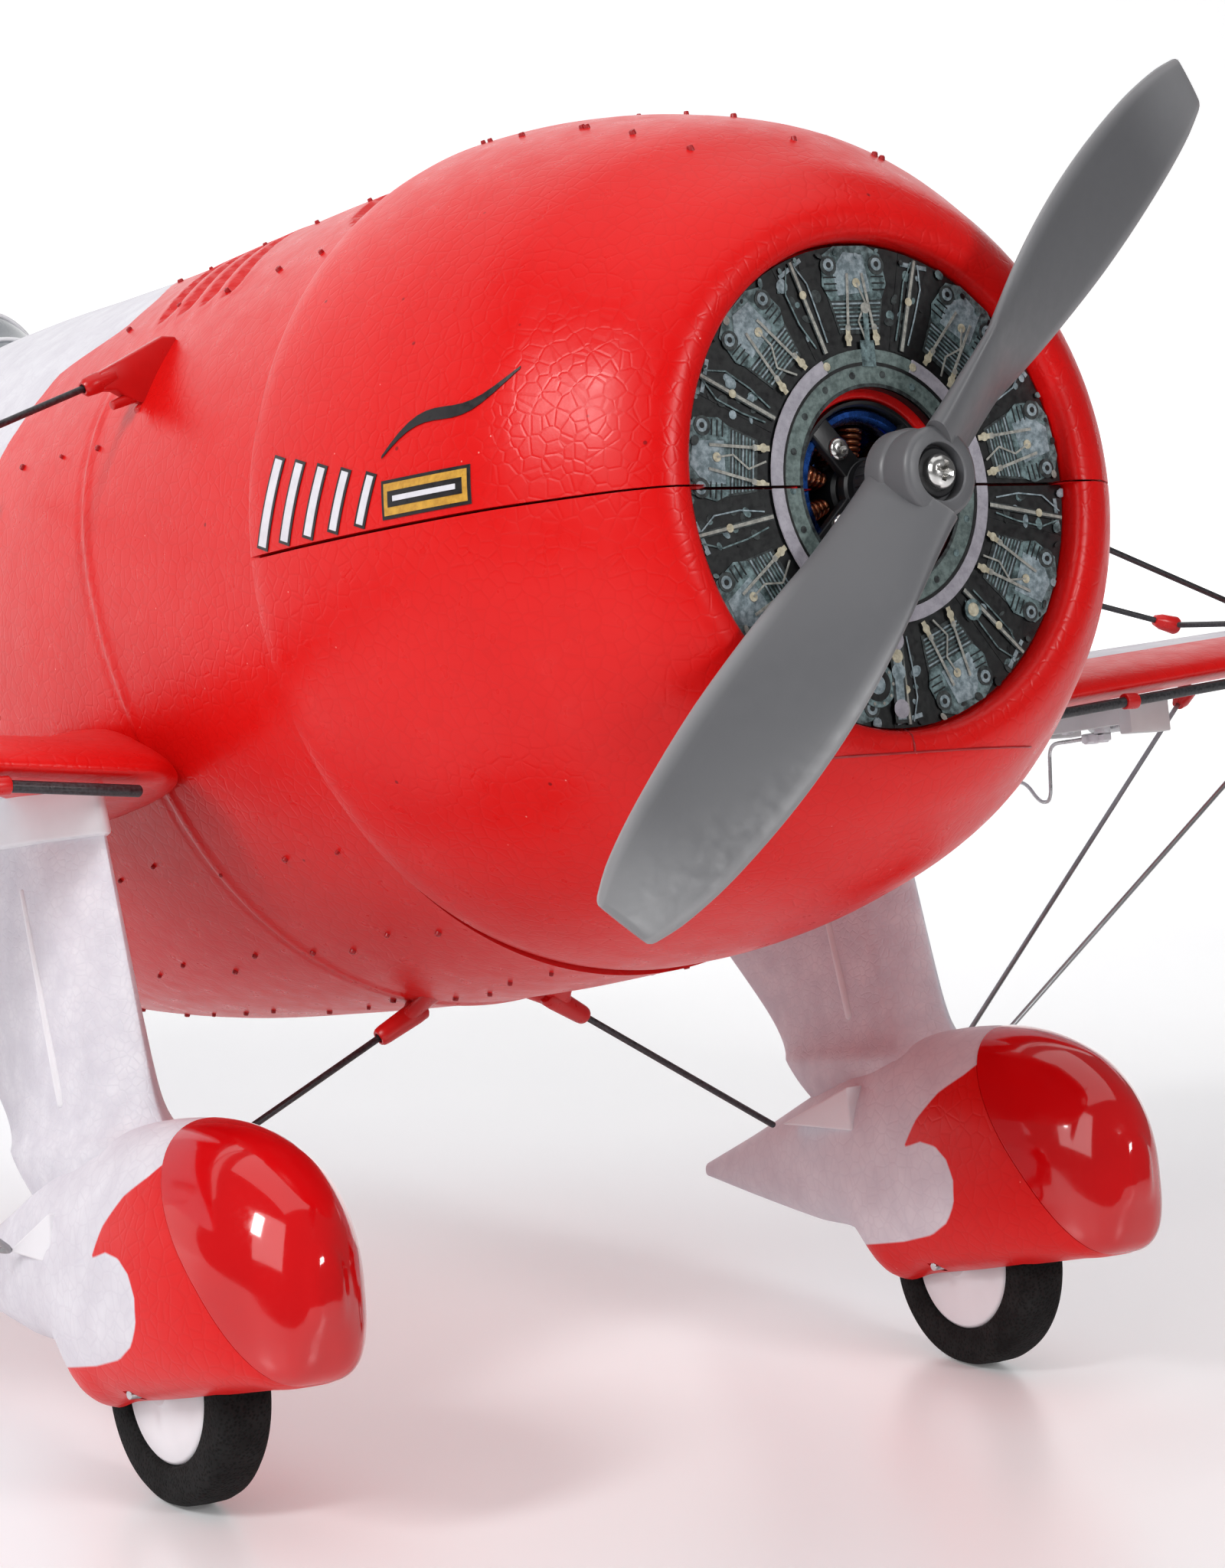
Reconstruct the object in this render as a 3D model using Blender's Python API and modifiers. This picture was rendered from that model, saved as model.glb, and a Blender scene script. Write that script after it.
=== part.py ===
"""A small radio-controlled foam racing aeroplane: barrel fuselage, low wing, spatted wheels.

Everything is laid out in the aircraft's own frame, in millimetres: X to its left wing, Y aft from
the propeller disc along the thrust line, Z up. An empty then pitches the aircraft nose-up onto its
three wheels, so the scene's floor is z = 0 and the scene is in metres.
"""
import math

import bmesh
import bpy
from mathutils import Matrix, Vector

MM = 0.001
FIT = 0.3  # gap left between pieces that touch
LEFT, RIGHT = 1, -1
SIDES = (("left", LEFT), ("right", RIGHT))

# Stance
NOSE_UP_DEG = 12.0
RIDE_HEIGHT = 122.53  # thrust line above the floor at the propeller
BOX_MIDDLE_Y = 170.29  # middle of the pitched aircraft's length, which becomes y = 0

# Propeller
PROP_RADIUS = 66.675
PROP_PITCH = 88.9
PROP_ANGLE_DEG = 45.5
HUB_RADIUS = 5.2
HUB_FRONT, HUB_BACK = -2.8, 4.4
MOST_PITCH_DEG = 50.0  # the blade's angle near the hub

# Cowl: (y, radius) from the lip to its rear edge
COWL_PROFILE = ((5.8, 30.4), (6.0, 31.6), (6.8, 33.0), (9.0, 35.8), (13.3, 39.1), (22.3, 44.7),
                (36.0, 48.9), (48.0, 51.1), (58.0, 51.9), (60.6, 51.7))
OPENING_RADIUS = 27.9
FACE_Y, FACE_THICKNESS = 8.3, 1.2
FACE_HOLE_RADIUS = 11.3
BULKHEAD_FRONT, BULKHEAD_BACK = 9.8, 14.0
MOTOR_HOLE_RADIUS = 10.35

# Fuselage behind the cowl: (y, half width, top, bottom)
BODY_STATIONS = ((61.4, 50.1, 50.1, -52.4), (80, 50.3, 50.4, -53.6), (100, 50.0, 50.1, -54.1),
                 (125, 48.7, 49.7, -54.0), (150, 45.9, 50.3, -53.4), (175, 41.7, 51.2, -51.2),
                 (200, 36.0, 51.0, -47.2), (225, 29.6, 47.4, -42.0), (250, 22.9, 41.2, -36.2),
                 (275, 16.2, 33.2, -30.6), (300, 9.6, 25.4, -25.0), (315.2, 5.8, 20.4, -21.6))
WALL = 3.6
CAVITY_BACK = 250.0
HATCH_BACK = 60.9
SEAM = 0.34  # gap between the hatch and the fuselage
TRAY_TOP, TRAY_THICKNESS = -11.8, 1.5

# Wing
WING_ROOT, WING_HALF_SPAN, TIP_START = 42.0, 255.0, 190.0
WING_LE_ROOT, WING_TE_ROOT = 80.0, 171.0
WING_LE_SLOPE, WING_TE_SLOPE = 0.027, -0.153
WING_LE_Z, DIHEDRAL = -22.5, 0.09  # leading-edge height at WING_FILLET_X, and its rise per mm
WING_FILLET_X = 56.0
THICKNESS_RATIO, CAMBER = 0.10, 0.025
AILERON_IN, AILERON_OUT = 105.0, 222.0
AILERON_CHORD_IN, AILERON_CHORD_OUT = 21.0, 14.5
AILERON_HORN_ARM = 14.0
AILERON_ROD_X = 122.0

# Tail
TAIL_Z, TAIL_HALF_SPAN = 6.0, 90.0
STAB_FRONT, ELEVATOR_HINGE_Y = 262.0, 305.0
ELEVATOR_HORN_ARM = 9.0
RUDDER_HINGE_Y = 318.0
RUDDER_TOP, RUDDER_BOTTOM = 66.0, -21.0
RUDDER_HORN_ARM, RUDDER_ROD_Z = 12.0, -5.0
TAIL_ROD_X = 12.0
TAIL_WHEEL_Y, TAIL_WHEEL_Z, TAIL_WHEEL_RADIUS = 326.0, -49.8, 6.0

# Undercarriage
TRACK_X, WHEEL_Y, WHEEL_Z = 61.0, 76.5, -94.8
TYRE_RADIUS, TYRE_WIDTH, DISC_RADIUS = 13.9, 7.1, 8.9
AXLE_RADIUS, AXLE_HALF_LENGTH = 0.6, 8.0
WELL_RADIUS, WELL_HALF_WIDTH = 15.2, 4.8
# (y, half width, top, bottom)
PANT_STATIONS = ((43.6, 2.4, -78.5, -87.5), (45.0, 4.9, -74.6, -92.2), (48, 7.5, -70.9, -94.1),
                 (53, 9.8, -67.4, -94.5), (61, 11.4, -64.6, -95.1), (70, 11.9, -63.7, -95.8),
                 (80, 11.5, -64.2, -96.4), (87, 10.7, -65.5, -97.0), (93, 9.8, -67.0, -91.2),
                 (105, 7.2, -71.0, -89.0), (120, 4.0, -76.2, -85.8), (134, 1.0, -80.6, -82.6))
NOSE_CUT_TOP, NOSE_CUT_BOTTOM = (66.0, -64.0), (48.0, -93.0)  # (y, z) of the slanted seam
LEG_TOP, LEG_BOTTOM, LEG_HALF_THICKNESS = -20.0, -68.0, 4.6

# Rigging
BELLY_TIP = (15.3, 98.5, -56.7)
PANT_ANCHOR = (50.3, 104.5, -74.9)
SHOULDER_TIP = (49.7, 96.0, 26.9)
UPPER_ANCHOR = (147.0, 94.0, -9.2)
LOWER_ANCHORS = ((150.0, 88.0, -17.4), (150.0, 118.5, -17.6))
LOWER_FEET = ((71.2, 98.0, -77.8), (71.2, 101.2, -77.8))
WIRE_RADIUS = 0.45


# ---------------------------------------------------------------- scene and materials

def clear_scene():
    for obj in list(bpy.data.objects):
        bpy.data.objects.remove(obj)


def new_collection(name, hidden=False):
    collection = bpy.data.collections.new(name)
    bpy.context.scene.collection.children.link(collection)
    collection.hide_render = hidden
    return collection


def material(name, colour, roughness, metallic=0.0):
    made = bpy.data.materials.new(name)
    made.use_nodes = True
    shader = made.node_tree.nodes["Principled BSDF"]
    shader.inputs["Base Color"].default_value = (*colour, 1.0)
    shader.inputs["Roughness"].default_value = roughness
    shader.inputs["Metallic"].default_value = metallic
    return made


clear_scene()
PARTS = new_collection("foam_racer")
CUTTERS = new_collection("cutters", hidden=True)

RED_FOAM = material("red_foam", (0.75, 0.015, 0.012), 0.38)
WHITE_FOAM = material("white_foam", (0.82, 0.81, 0.84), 0.6)
RED_PLASTIC = material("red_plastic", (0.62, 0.008, 0.010), 0.12)
GREY_PLASTIC = material("grey_plastic", (0.22, 0.22, 0.23), 0.4)
WHITE_PLASTIC = material("white_plastic", (0.85, 0.85, 0.87), 0.35)
BLACK_PLASTIC = material("black_plastic", (0.02, 0.02, 0.022), 0.4)
BLACK_FOAM = material("black_foam", (0.03, 0.03, 0.03), 0.8)
PRINT = material("engine_print", (0.12, 0.15, 0.15), 0.5)
BLUE_METAL = material("blue_metal", (0.03, 0.10, 0.45), 0.25, 1.0)
STEEL = material("steel", (0.6, 0.6, 0.6), 0.25, 1.0)
CARBON = material("carbon", (0.03, 0.03, 0.035), 0.35)
CANOPY_PLASTIC = material("canopy_plastic", (0.05, 0.06, 0.07), 0.08)
BATTERY_WRAP = material("battery_wrap", (0.03, 0.05, 0.12), 0.4)
CIRCUIT = material("circuit", (0.02, 0.18, 0.07), 0.45)
PLYWOOD = material("plywood", (0.6, 0.42, 0.25), 0.7)

AIRCRAFT = bpy.data.objects.new("aircraft", None)
PARTS.objects.link(AIRCRAFT)
AIRCRAFT.rotation_euler = (math.radians(-NOSE_UP_DEG), 0, 0)
AIRCRAFT.location = (0, -BOX_MIDDLE_Y * MM, RIDE_HEIGHT * MM)


# ---------------------------------------------------------------- helpers

def place(obj, mat=None, pivot=(0, 0, 0)):
    """Makes an object a piece of the aircraft, with its origin at pivot; without a material, a cutter."""
    pivot = Vector(pivot) * MM
    obj.data.transform(Matrix.Translation(-pivot))
    obj.location = pivot
    obj.parent = AIRCRAFT
    for old in list(obj.users_collection):
        old.objects.unlink(obj)
    if mat is None:
        CUTTERS.objects.link(obj)
        obj.hide_render = True
        obj.display_type = "WIRE"
        return obj
    PARTS.objects.link(obj)
    obj.data.materials.append(mat)
    obj.data.shade_smooth()
    obj.data.set_sharp_from_angle(angle=math.radians(35))
    return obj


def from_bmesh(name, bm):
    bmesh.ops.recalc_face_normals(bm, faces=bm.faces)
    mesh = bpy.data.meshes.new(name)
    bm.to_mesh(mesh)
    bm.free()
    return bpy.data.objects.new(name, mesh)


def loft(name, rings):
    """A closed solid through rings of points in mm, capped at both ends."""
    bm = bmesh.new()
    rows = [[bm.verts.new(Vector(p) * MM) for p in ring] for ring in rings]
    count = len(rows[0])
    for a, b in zip(rows, rows[1:]):
        for i in range(count):
            j = (i + 1) % count
            bm.faces.new((a[i], a[j], b[j], b[i]))
    bm.faces.new(rows[0])
    bm.faces.new(rows[-1])
    return from_bmesh(name, bm)


def box(name, low, high):
    bm = bmesh.new()
    bmesh.ops.create_cube(bm, size=1.0)
    low, high = Vector(low) * MM, Vector(high) * MM
    bmesh.ops.scale(bm, vec=high - low, verts=bm.verts)
    bmesh.ops.translate(bm, vec=(low + high) / 2, verts=bm.verts)
    return from_bmesh(name, bm)


def cylinder(name, start, end, radius, end_radius=None, sides=24):
    start, end = Vector(start) * MM, Vector(end) * MM
    along = end - start
    bm = bmesh.new()
    bmesh.ops.create_cone(bm, cap_ends=True, segments=sides, radius1=radius * MM,
                          radius2=(radius if end_radius is None else end_radius) * MM,
                          depth=along.length)
    turn = along.to_track_quat("Z", "Y").to_matrix().to_4x4()
    bmesh.ops.transform(bm, matrix=Matrix.Translation((start + end) / 2) @ turn, verts=bm.verts)
    return from_bmesh(name, bm)


def turned(name, profile, centre=(0, 0, 0), axis="Y", sides=32):
    """A closed (radius, along) outline turned about an axis through centre; a hole stays open."""
    bm = bmesh.new()
    rings = []
    for k in range(sides):
        angle = 2 * math.pi * k / sides
        ring = []
        for radius, along in profile:
            a, b = radius * math.cos(angle), radius * math.sin(angle)
            offset = (a, along, b) if axis == "Y" else (along, a, b)
            ring.append(bm.verts.new((Vector(centre) + Vector(offset)) * MM))
        rings.append(ring)
    count = len(profile)
    for k in range(sides):
        here, there = rings[k], rings[(k + 1) % sides]
        for i in range(count):
            j = (i + 1) % count
            bm.faces.new((here[i], here[j], there[j], there[i]))
    bmesh.ops.remove_doubles(bm, verts=bm.verts, dist=1e-7)
    on_axis = [edge for edge in bm.edges if not edge.link_faces]
    bmesh.ops.delete(bm, geom=on_axis, context="EDGES")
    return from_bmesh(name, bm)


def prism(name, outline, axis, low, high):
    """A flat outline of two coordinates pushed along the third axis from low to high."""
    def point(pair, level):
        p = list(pair)
        p.insert("XYZ".index(axis), level)
        return p
    return loft(name, [[point(p, low) for p in outline], [point(p, high) for p in outline]])


def tube(name, points, radius, smooth=False, resolution=1):
    """A wire through points in mm, with closed round ends."""
    data = bpy.data.curves.new(name, "CURVE")
    data.dimensions = "3D"
    data.bevel_depth = radius * MM
    data.bevel_resolution = resolution
    data.use_fill_caps = True
    spline = data.splines.new("POLY")
    path = rounded_path(points) if smooth else points
    spline.points.add(len(path) - 1)
    for target, p in zip(spline.points, path):
        target.co = (*(Vector(p) * MM), 1.0)
    curve = bpy.data.objects.new(name, data)
    bpy.context.scene.collection.objects.link(curve)
    graph = bpy.context.evaluated_depsgraph_get()
    mesh = bpy.data.meshes.new_from_object(curve.evaluated_get(graph))
    bpy.data.objects.remove(curve)
    bm = bmesh.new()
    bm.from_mesh(mesh)
    bmesh.ops.remove_doubles(bm, verts=bm.verts, dist=1e-6)
    return from_bmesh(name, bm)


def rounded_path(points, radius=2.0, steps=3):
    """The points with each inner corner turned into a short curve."""
    points = [Vector(p) for p in points]
    path = [points[0]]
    for before, corner, after in zip(points, points[1:], points[2:]):
        start = corner + (before - corner).normalized() * min(radius, (before - corner).length * 0.45)
        end = corner + (after - corner).normalized() * min(radius, (after - corner).length * 0.45)
        for k in range(steps + 1):
            t = k / steps
            path.append(start * (1 - t) ** 2 + corner * 2 * t * (1 - t) + end * t ** 2)
    path.append(points[-1])
    return path


def combine(obj, operation, other):
    """Adds a Boolean modifier; the other object becomes a hidden helper."""
    modifier = obj.modifiers.new(f"{operation.lower()}_{other.name}", "BOOLEAN")
    modifier.operation = operation
    modifier.object = other
    modifier.solver = "EXACT"
    return obj


def cut(obj, *others):
    for other in others:
        combine(obj, "DIFFERENCE", other)
    return obj


def join(obj, *others):
    for other in others:
        combine(obj, "UNION", other)
    return obj


def keep(obj, other):
    return combine(obj, "INTERSECT", other)


def helper(obj):
    return place(obj)


def smooth_table(stations, y):
    """Values at y from a table of (y, values...), by a smooth curve through its rows."""
    if y <= stations[0][0]:
        return stations[0][1:]
    for i in range(len(stations) - 1):
        y0, y1 = stations[i][0], stations[i + 1][0]
        if y <= y1:
            break
    before = stations[max(i - 1, 0)]
    after = stations[min(i + 2, len(stations) - 1)]
    t = min((y - y0) / (y1 - y0), 1.0)
    values = []
    for a, p, q, b in zip(before[1:], stations[i][1:], stations[i + 1][1:], after[1:]):
        m0 = (q - a) / (y1 - before[0]) * (y1 - y0)
        m1 = (b - p) / (after[0] - y0) * (y1 - y0)
        values.append((2 * t ** 3 - 3 * t ** 2 + 1) * p + (t ** 3 - 2 * t ** 2 + t) * m0
                      + (3 * t ** 2 - 2 * t ** 3) * q + (t ** 3 - t ** 2) * m1)
    return tuple(values)


def oval(y, half_width, top, bottom, count, exponent=2.0, lower_exponent=None, centre_x=0.0, waist=None):
    """A ring in the plane y: superellipse quarters that meet at the waist height."""
    lower_exponent = lower_exponent or exponent
    waist = (top + bottom) / 2 if waist is None else waist
    ring = []
    for k in range(count):
        angle = 2 * math.pi * k / count
        c, s = math.cos(angle), math.sin(angle)
        power = 2 / (exponent if s >= 0 else lower_exponent)
        height = (top - waist) if s >= 0 else (waist - bottom)
        x = centre_x + half_width * math.copysign(abs(c) ** power, c)
        ring.append((x, y, waist + height * math.copysign(abs(s) ** power, s)))
    return ring


# ---------------------------------------------------------------- fuselage, hatch and what is inside

def fuselage_rings(grow=0.0, count=44):
    rings = [oval(y, r + grow, r + grow, -r - grow, count, waist=0.0) for y, r in COWL_PROFILE]
    first, last = BODY_STATIONS[0][0], BODY_STATIONS[-1][0]
    steps = 16
    for k in range(steps + 1):
        y = first + (last - first) * k / steps
        w, top, bottom = smooth_table(BODY_STATIONS, y)
        rings.append(oval(y, w + grow, top + grow, bottom - grow, count, waist=0.0))
    return rings


def cavity_rings(shrink=0.0, count=28):
    rings = []
    wall = WALL + shrink
    for y in (BULKHEAD_BACK + shrink, 22, 36, 50, 80, 110, 140, 170, 200, 225, CAVITY_BACK - shrink):
        if y < BODY_STATIONS[0][0]:
            r = smooth_table(COWL_PROFILE, y)[0] - wall - max(0, 3 - (y - BULKHEAD_BACK) / 3)
            w, top, bottom = r, r, -r
        else:
            w, top, bottom = smooth_table(BODY_STATIONS, y)
            w, top, bottom = w - wall, top - wall, bottom + wall
        rings.append(oval(y, w, top, bottom, count, waist=0.0))
    return rings


def hatch_block(grow):
    """The space of the hatch: the cowl above the seam, from the lip to its rear edge."""
    size = 70
    return helper(box("hatch_block", (-size, 2, -grow), (size, HATCH_BACK + grow, size)))


ENVELOPE = helper(loft("fuselage_envelope", fuselage_rings(FIT)))
CAVITY = helper(loft("cavity", cavity_rings()))
CAVITY_LINER = helper(loft("cavity_liner", cavity_rings(FIT)))
POCKET = helper(cylinder("nose_pocket", (0, 0, 0), (0, BULKHEAD_FRONT, 0), OPENING_RADIUS, sides=48))
MOTOR_HOLE = helper(cylinder("motor_hole", (0, 5, 0), (0, BULKHEAD_BACK + 8, 0), MOTOR_HOLE_RADIUS,
                             sides=40))


def make_fuselage():
    shell = place(loft("fuselage_shell", fuselage_rings()), RED_FOAM)
    cut(shell, CAVITY, POCKET, MOTOR_HOLE, hatch_block(SEAM / 2))
    slot_half = 1.75 + FIT
    slot = helper(box("stabiliser_slot", (-60, STAB_FRONT - FIT, TAIL_Z - slot_half),
                      (60, ELEVATOR_HINGE_Y - 2.0, TAIL_Z + slot_half)))
    joiner_hole = helper(box("joiner_hole", (-21, ELEVATOR_HINGE_Y - 2.4, TAIL_Z - 2.5),
                             (21, ELEVATOR_HINGE_Y + 2.4, TAIL_Z + 2.6)))
    cut(shell, slot, joiner_hole)
    for name, side, z in (("elevator", LEFT, TAIL_Z - ELEVATOR_HORN_ARM), ("rudder", RIGHT, RUDDER_ROD_Z)):
        x = side * TAIL_ROD_X
        cut(shell, helper(cylinder(f"{name}_rod_channel", (x, CAVITY_BACK - 20, z), (x, 312, z), 1.6,
                                   sides=12)))
    hatch = place(loft("battery_hatch", fuselage_rings()), RED_FOAM)
    cut(hatch, CAVITY, POCKET, MOTOR_HOLE)
    keep(hatch, hatch_block(-SEAM / 2))


def make_engine_faces():
    """The two printed half rings in the cowl opening."""
    back = FACE_Y + FACE_THICKNESS
    ring = [(OPENING_RADIUS - FIT, FACE_Y), (OPENING_RADIUS - FIT, back), (FACE_HOLE_RADIUS, back),
            (FACE_HOLE_RADIUS, FACE_Y)]
    for name, low, high in (("engine_face_upper", FIT / 2, 40), ("engine_face_lower", -40, -FIT / 2)):
        face = place(turned(name, ring, sides=48), PRINT)
        keep(face, helper(box(f"{name}_half", (-40, 0, low), (40, 20, high))))


def make_motor():
    """An outrunner held by its front face: spider mount, flange with the windings, bell with its shaft."""
    skirt = [(10.05, 9.7), (10.05, 20), (9.55, 20), (9.55, 9.7)]
    mount = place(turned("motor_mount", skirt, sides=24), BLACK_PLASTIC)
    join(mount, helper(box("mount_arm_1", (-9.8, 9.7, -1.6), (9.8, 11.2, 1.6))),
         helper(box("mount_arm_2", (-1.6, 9.7, -9.8), (1.6, 11.2, 9.8))),
         helper(cylinder("mount_boss", (0, 9.7, 0), (0, 11.2, 0), 3.6)))
    shaft_hole = helper(cylinder("shaft_hole", (0, 0, 0), (0, 30, 0), 1.6))
    cut(mount, shaft_hole)
    flange = [(9.2, 11.5), (9.2, 13.0), (7.9, 13.0), (7.9, 11.5)]
    stator = place(turned("motor_stator", flange, sides=24), BLUE_METAL)
    join(stator, helper(box("flange_arm_1", (-8.2, 11.5, -1.4), (8.2, 12.8, 1.4))),
         helper(box("flange_arm_2", (-1.4, 11.5, -8.2), (1.4, 12.8, 8.2))),
         helper(cylinder("stator_core", (0, 11.5, 0), (0, 20.6, 0), 3.4)),
         helper(cylinder("windings", (0, 13.4, 0), (0, 20.4, 0), 7.3)))
    cut(stator, shaft_hole)
    bell = [(9.2, 13.5), (9.2, 23.0), (0.0, 23.0), (0.0, -1.2), (1.0, -1.2), (1.0, 21.2), (7.9, 21.2),
            (7.9, 13.5)]
    place(turned("motor_bell", bell, sides=28), BLUE_METAL)


def blade_section(radius):
    """(chord, pitch angle, thickness, sweep) of the blade at a radius in mm."""
    table = ((4.0, 8.2, 3.6, 0.0), (9.0, 9.6, 3.2, 0.2), (18, 13.0, 2.3, 0.5), (30, 15.2, 1.8, 0.6),
             (42, 15.3, 1.5, 0.3), (54, 13.4, 1.2, -0.2), (62, 10.6, 1.0, -0.7),
             (PROP_RADIUS, 7.4, 0.8, -1.0))
    chord, thickness, sweep = smooth_table(table, radius)
    angle = min(math.atan2(PROP_PITCH, 2 * math.pi * radius), math.radians(MOST_PITCH_DEG))
    return chord, angle, thickness, sweep


def blade_ring(radius, count=12):
    chord, pitch, thickness, sweep = blade_section(radius)
    ring = []
    for k in range(count):
        turn = 2 * math.pi * k / count
        u = math.cos(turn) * chord / 2 + sweep
        v = math.sin(turn) * thickness / 2 - 0.05 * chord * math.sin(turn / 2) ** 2
        along = u * math.cos(pitch) - v * math.sin(pitch)
        forward = u * math.sin(pitch) + v * math.cos(pitch)
        ring.append((radius, -forward, along))
    return ring


def make_propeller():
    hub = [(HUB_RADIUS - 0.5, HUB_FRONT), (HUB_RADIUS, HUB_FRONT + 0.5), (HUB_RADIUS, HUB_BACK),
           (1.3, HUB_BACK), (1.3, -0.9), (3.3, -0.9), (3.3, HUB_FRONT)]
    prop = place(turned("propeller", list(reversed(hub)), sides=24), GREY_PLASTIC)
    radii = [3.6, 9, 16, 24, 32, 40, 48, 56, 62, 65.2, PROP_RADIUS]
    for k in range(2):
        blade = loft(f"blade_{k}", [blade_ring(r) for r in radii])
        turn = math.radians(-PROP_ANGLE_DEG + 180 * k)
        blade.data.transform(Matrix.Rotation(turn, 4, "Y"))
        join(prop, helper(blade))
    bore = helper(cylinder("prop_bore", (0, -5, 0), (0, 8, 0), 1.3))
    counterbore = helper(cylinder("prop_recess", (0, -6, 0), (0, -0.9, 0), 3.3))
    cut(prop, bore, counterbore)
    screw = place(cylinder("prop_screw", (0, -2.3, 0), (0, -3.5, 0), 2.1, 1.7), STEEL)
    join(screw, helper(cylinder("screw_shank", (0, -3, 0), (0, -1.5, 0), 0.9)))
    slot_low, slot_high = (-1.1, -4, -0.25), (1.1, -2.9, 0.25)
    cut(screw, helper(box("cross_slot_1", slot_low, slot_high)),
        helper(box("cross_slot_2", (-0.25, -4, -1.1), (0.25, -2.9, 1.1))))
    adapter = [(2.6, 4.7), (3.4, 5.2), (3.4, 8.6), (2.6, 9.3), (1.3, 9.3), (1.3, 4.7)]
    place(turned("prop_adapter", adapter), BLACK_PLASTIC)


def linear_servo(name, side, centre, turn_over=1):
    """A small open-frame linear servo, 22 x 8 x 5.4 mm, its track along Y; turn_over -1 hangs it."""
    cx, cy, cz = centre

    def block(part, low, high):
        xs = sorted((cx + side * low[0], cx + side * high[0]))
        zs = sorted((cz + turn_over * low[2], cz + turn_over * high[2]))
        return box(part, (xs[0], cy + low[1], zs[0]), (xs[1], cy + high[1], zs[1]))
    motor_x = cx + side * 2
    servo = place(block(name, (-4, -11, -2.7), (4, 11, -1.5)), WHITE_PLASTIC)
    join(servo, helper(block(f"{name}_front", (-4, -11, -2), (4, -8, 2.7))),
         helper(block(f"{name}_back", (-4, 8.5, -2), (4, 11, 1.6))),
         helper(block(f"{name}_rail", (-4, -8.5, -2), (-2.6, 9, 1.2))),
         helper(cylinder(f"{name}_motor", (motor_x, cy - 9, cz), (motor_x, cy + 9, cz), 1.9, sides=16)))


def make_equipment():
    tray = place(box("equipment_tray", (-60, 26, TRAY_TOP - TRAY_THICKNESS), (60, 206, TRAY_TOP)), PLYWOOD)
    keep(tray, CAVITY_LINER)
    base = TRAY_TOP + FIT
    battery = place(box("battery", (-9, 34, base), (9, 80, base + 11.5)), BATTERY_WRAP)
    bevel = battery.modifiers.new("soft_edges", "BEVEL")
    bevel.width = 1.5 * MM
    bevel.segments = 3
    board = place(box("receiver_board", (-12, 112, base), (12, 146, base + 1.6)), CIRCUIT)
    join(board, helper(box("board_chip", (-6, 120, base + 1), (4, 130, base + 3))),
         helper(box("board_plugs", (-11, 138, base + 1), (11, 145, base + 5.5))))
    for name, side in (("elevator_servo", LEFT), ("rudder_servo", RIGHT)):
        linear_servo(name, side, (side * TAIL_ROD_X, 184, base + 2.7))


# ---------------------------------------------------------------- canopy, fin and tail

def canopy_rings(grow=0.0, count=20):
    table = ((206, 7.5, 51.0), (212, 10.5, 54.5), (219, 12.0, 59.4), (228, 12.4, 63.0), (238, 11.6, 64.2),
             (247, 9.4, 63.2), (253.6, 7.0, 62.2))
    return [oval(y, w + grow, top + grow, 30.0, count, exponent=2.3, waist=40.0)
            for y, w, top in table]


def fin_section(z, front, back, half, nose_steps=5):
    """A plan-view ring at height z: round front, straight sides, square back at the hinge line."""
    ring = [(half, back, z)]
    taper = min(28.0, (back - front) * 0.6)
    for k in range(nose_steps * 2 + 1):
        turn = math.pi * k / (nose_steps * 2)
        ring.append((half * math.cos(turn), front + taper * (1 - math.sin(turn)), z))
    ring.append((-half, back, z))
    return ring


def make_canopy_and_fin():
    canopy = place(loft("canopy", canopy_rings()), CANOPY_PLASTIC)
    cut(canopy, ENVELOPE)
    back = RUDDER_HINGE_Y - 2.2 - 0.6
    heights = ((8, 254, 3.6), (30, 254, 3.4), (50, 254, 3.0), (60, 254.4, 2.6), (63.5, 262, 2.3),
               (65.4, 280, 2.1), (66.2, 300, 1.7))
    fin = place(loft("fin", [fin_section(z, y, back, half) for z, y, half in heights]), WHITE_FOAM)
    cut(fin, ENVELOPE)


def surface_ring(x, hinge, back, z, half, tip_half=0.5, nose_steps=6):
    """A control surface's section in the plane x: round nose on the hinge line, thin trailing edge."""
    ring = []
    for k in range(nose_steps + 1):
        turn = math.pi / 2 + math.pi * k / nose_steps
        ring.append((x, hinge + half * math.cos(turn), z + half * math.sin(turn)))
    ring.append((x, back, z - tip_half))
    ring.append((x, back, z + tip_half))
    return ring


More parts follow.
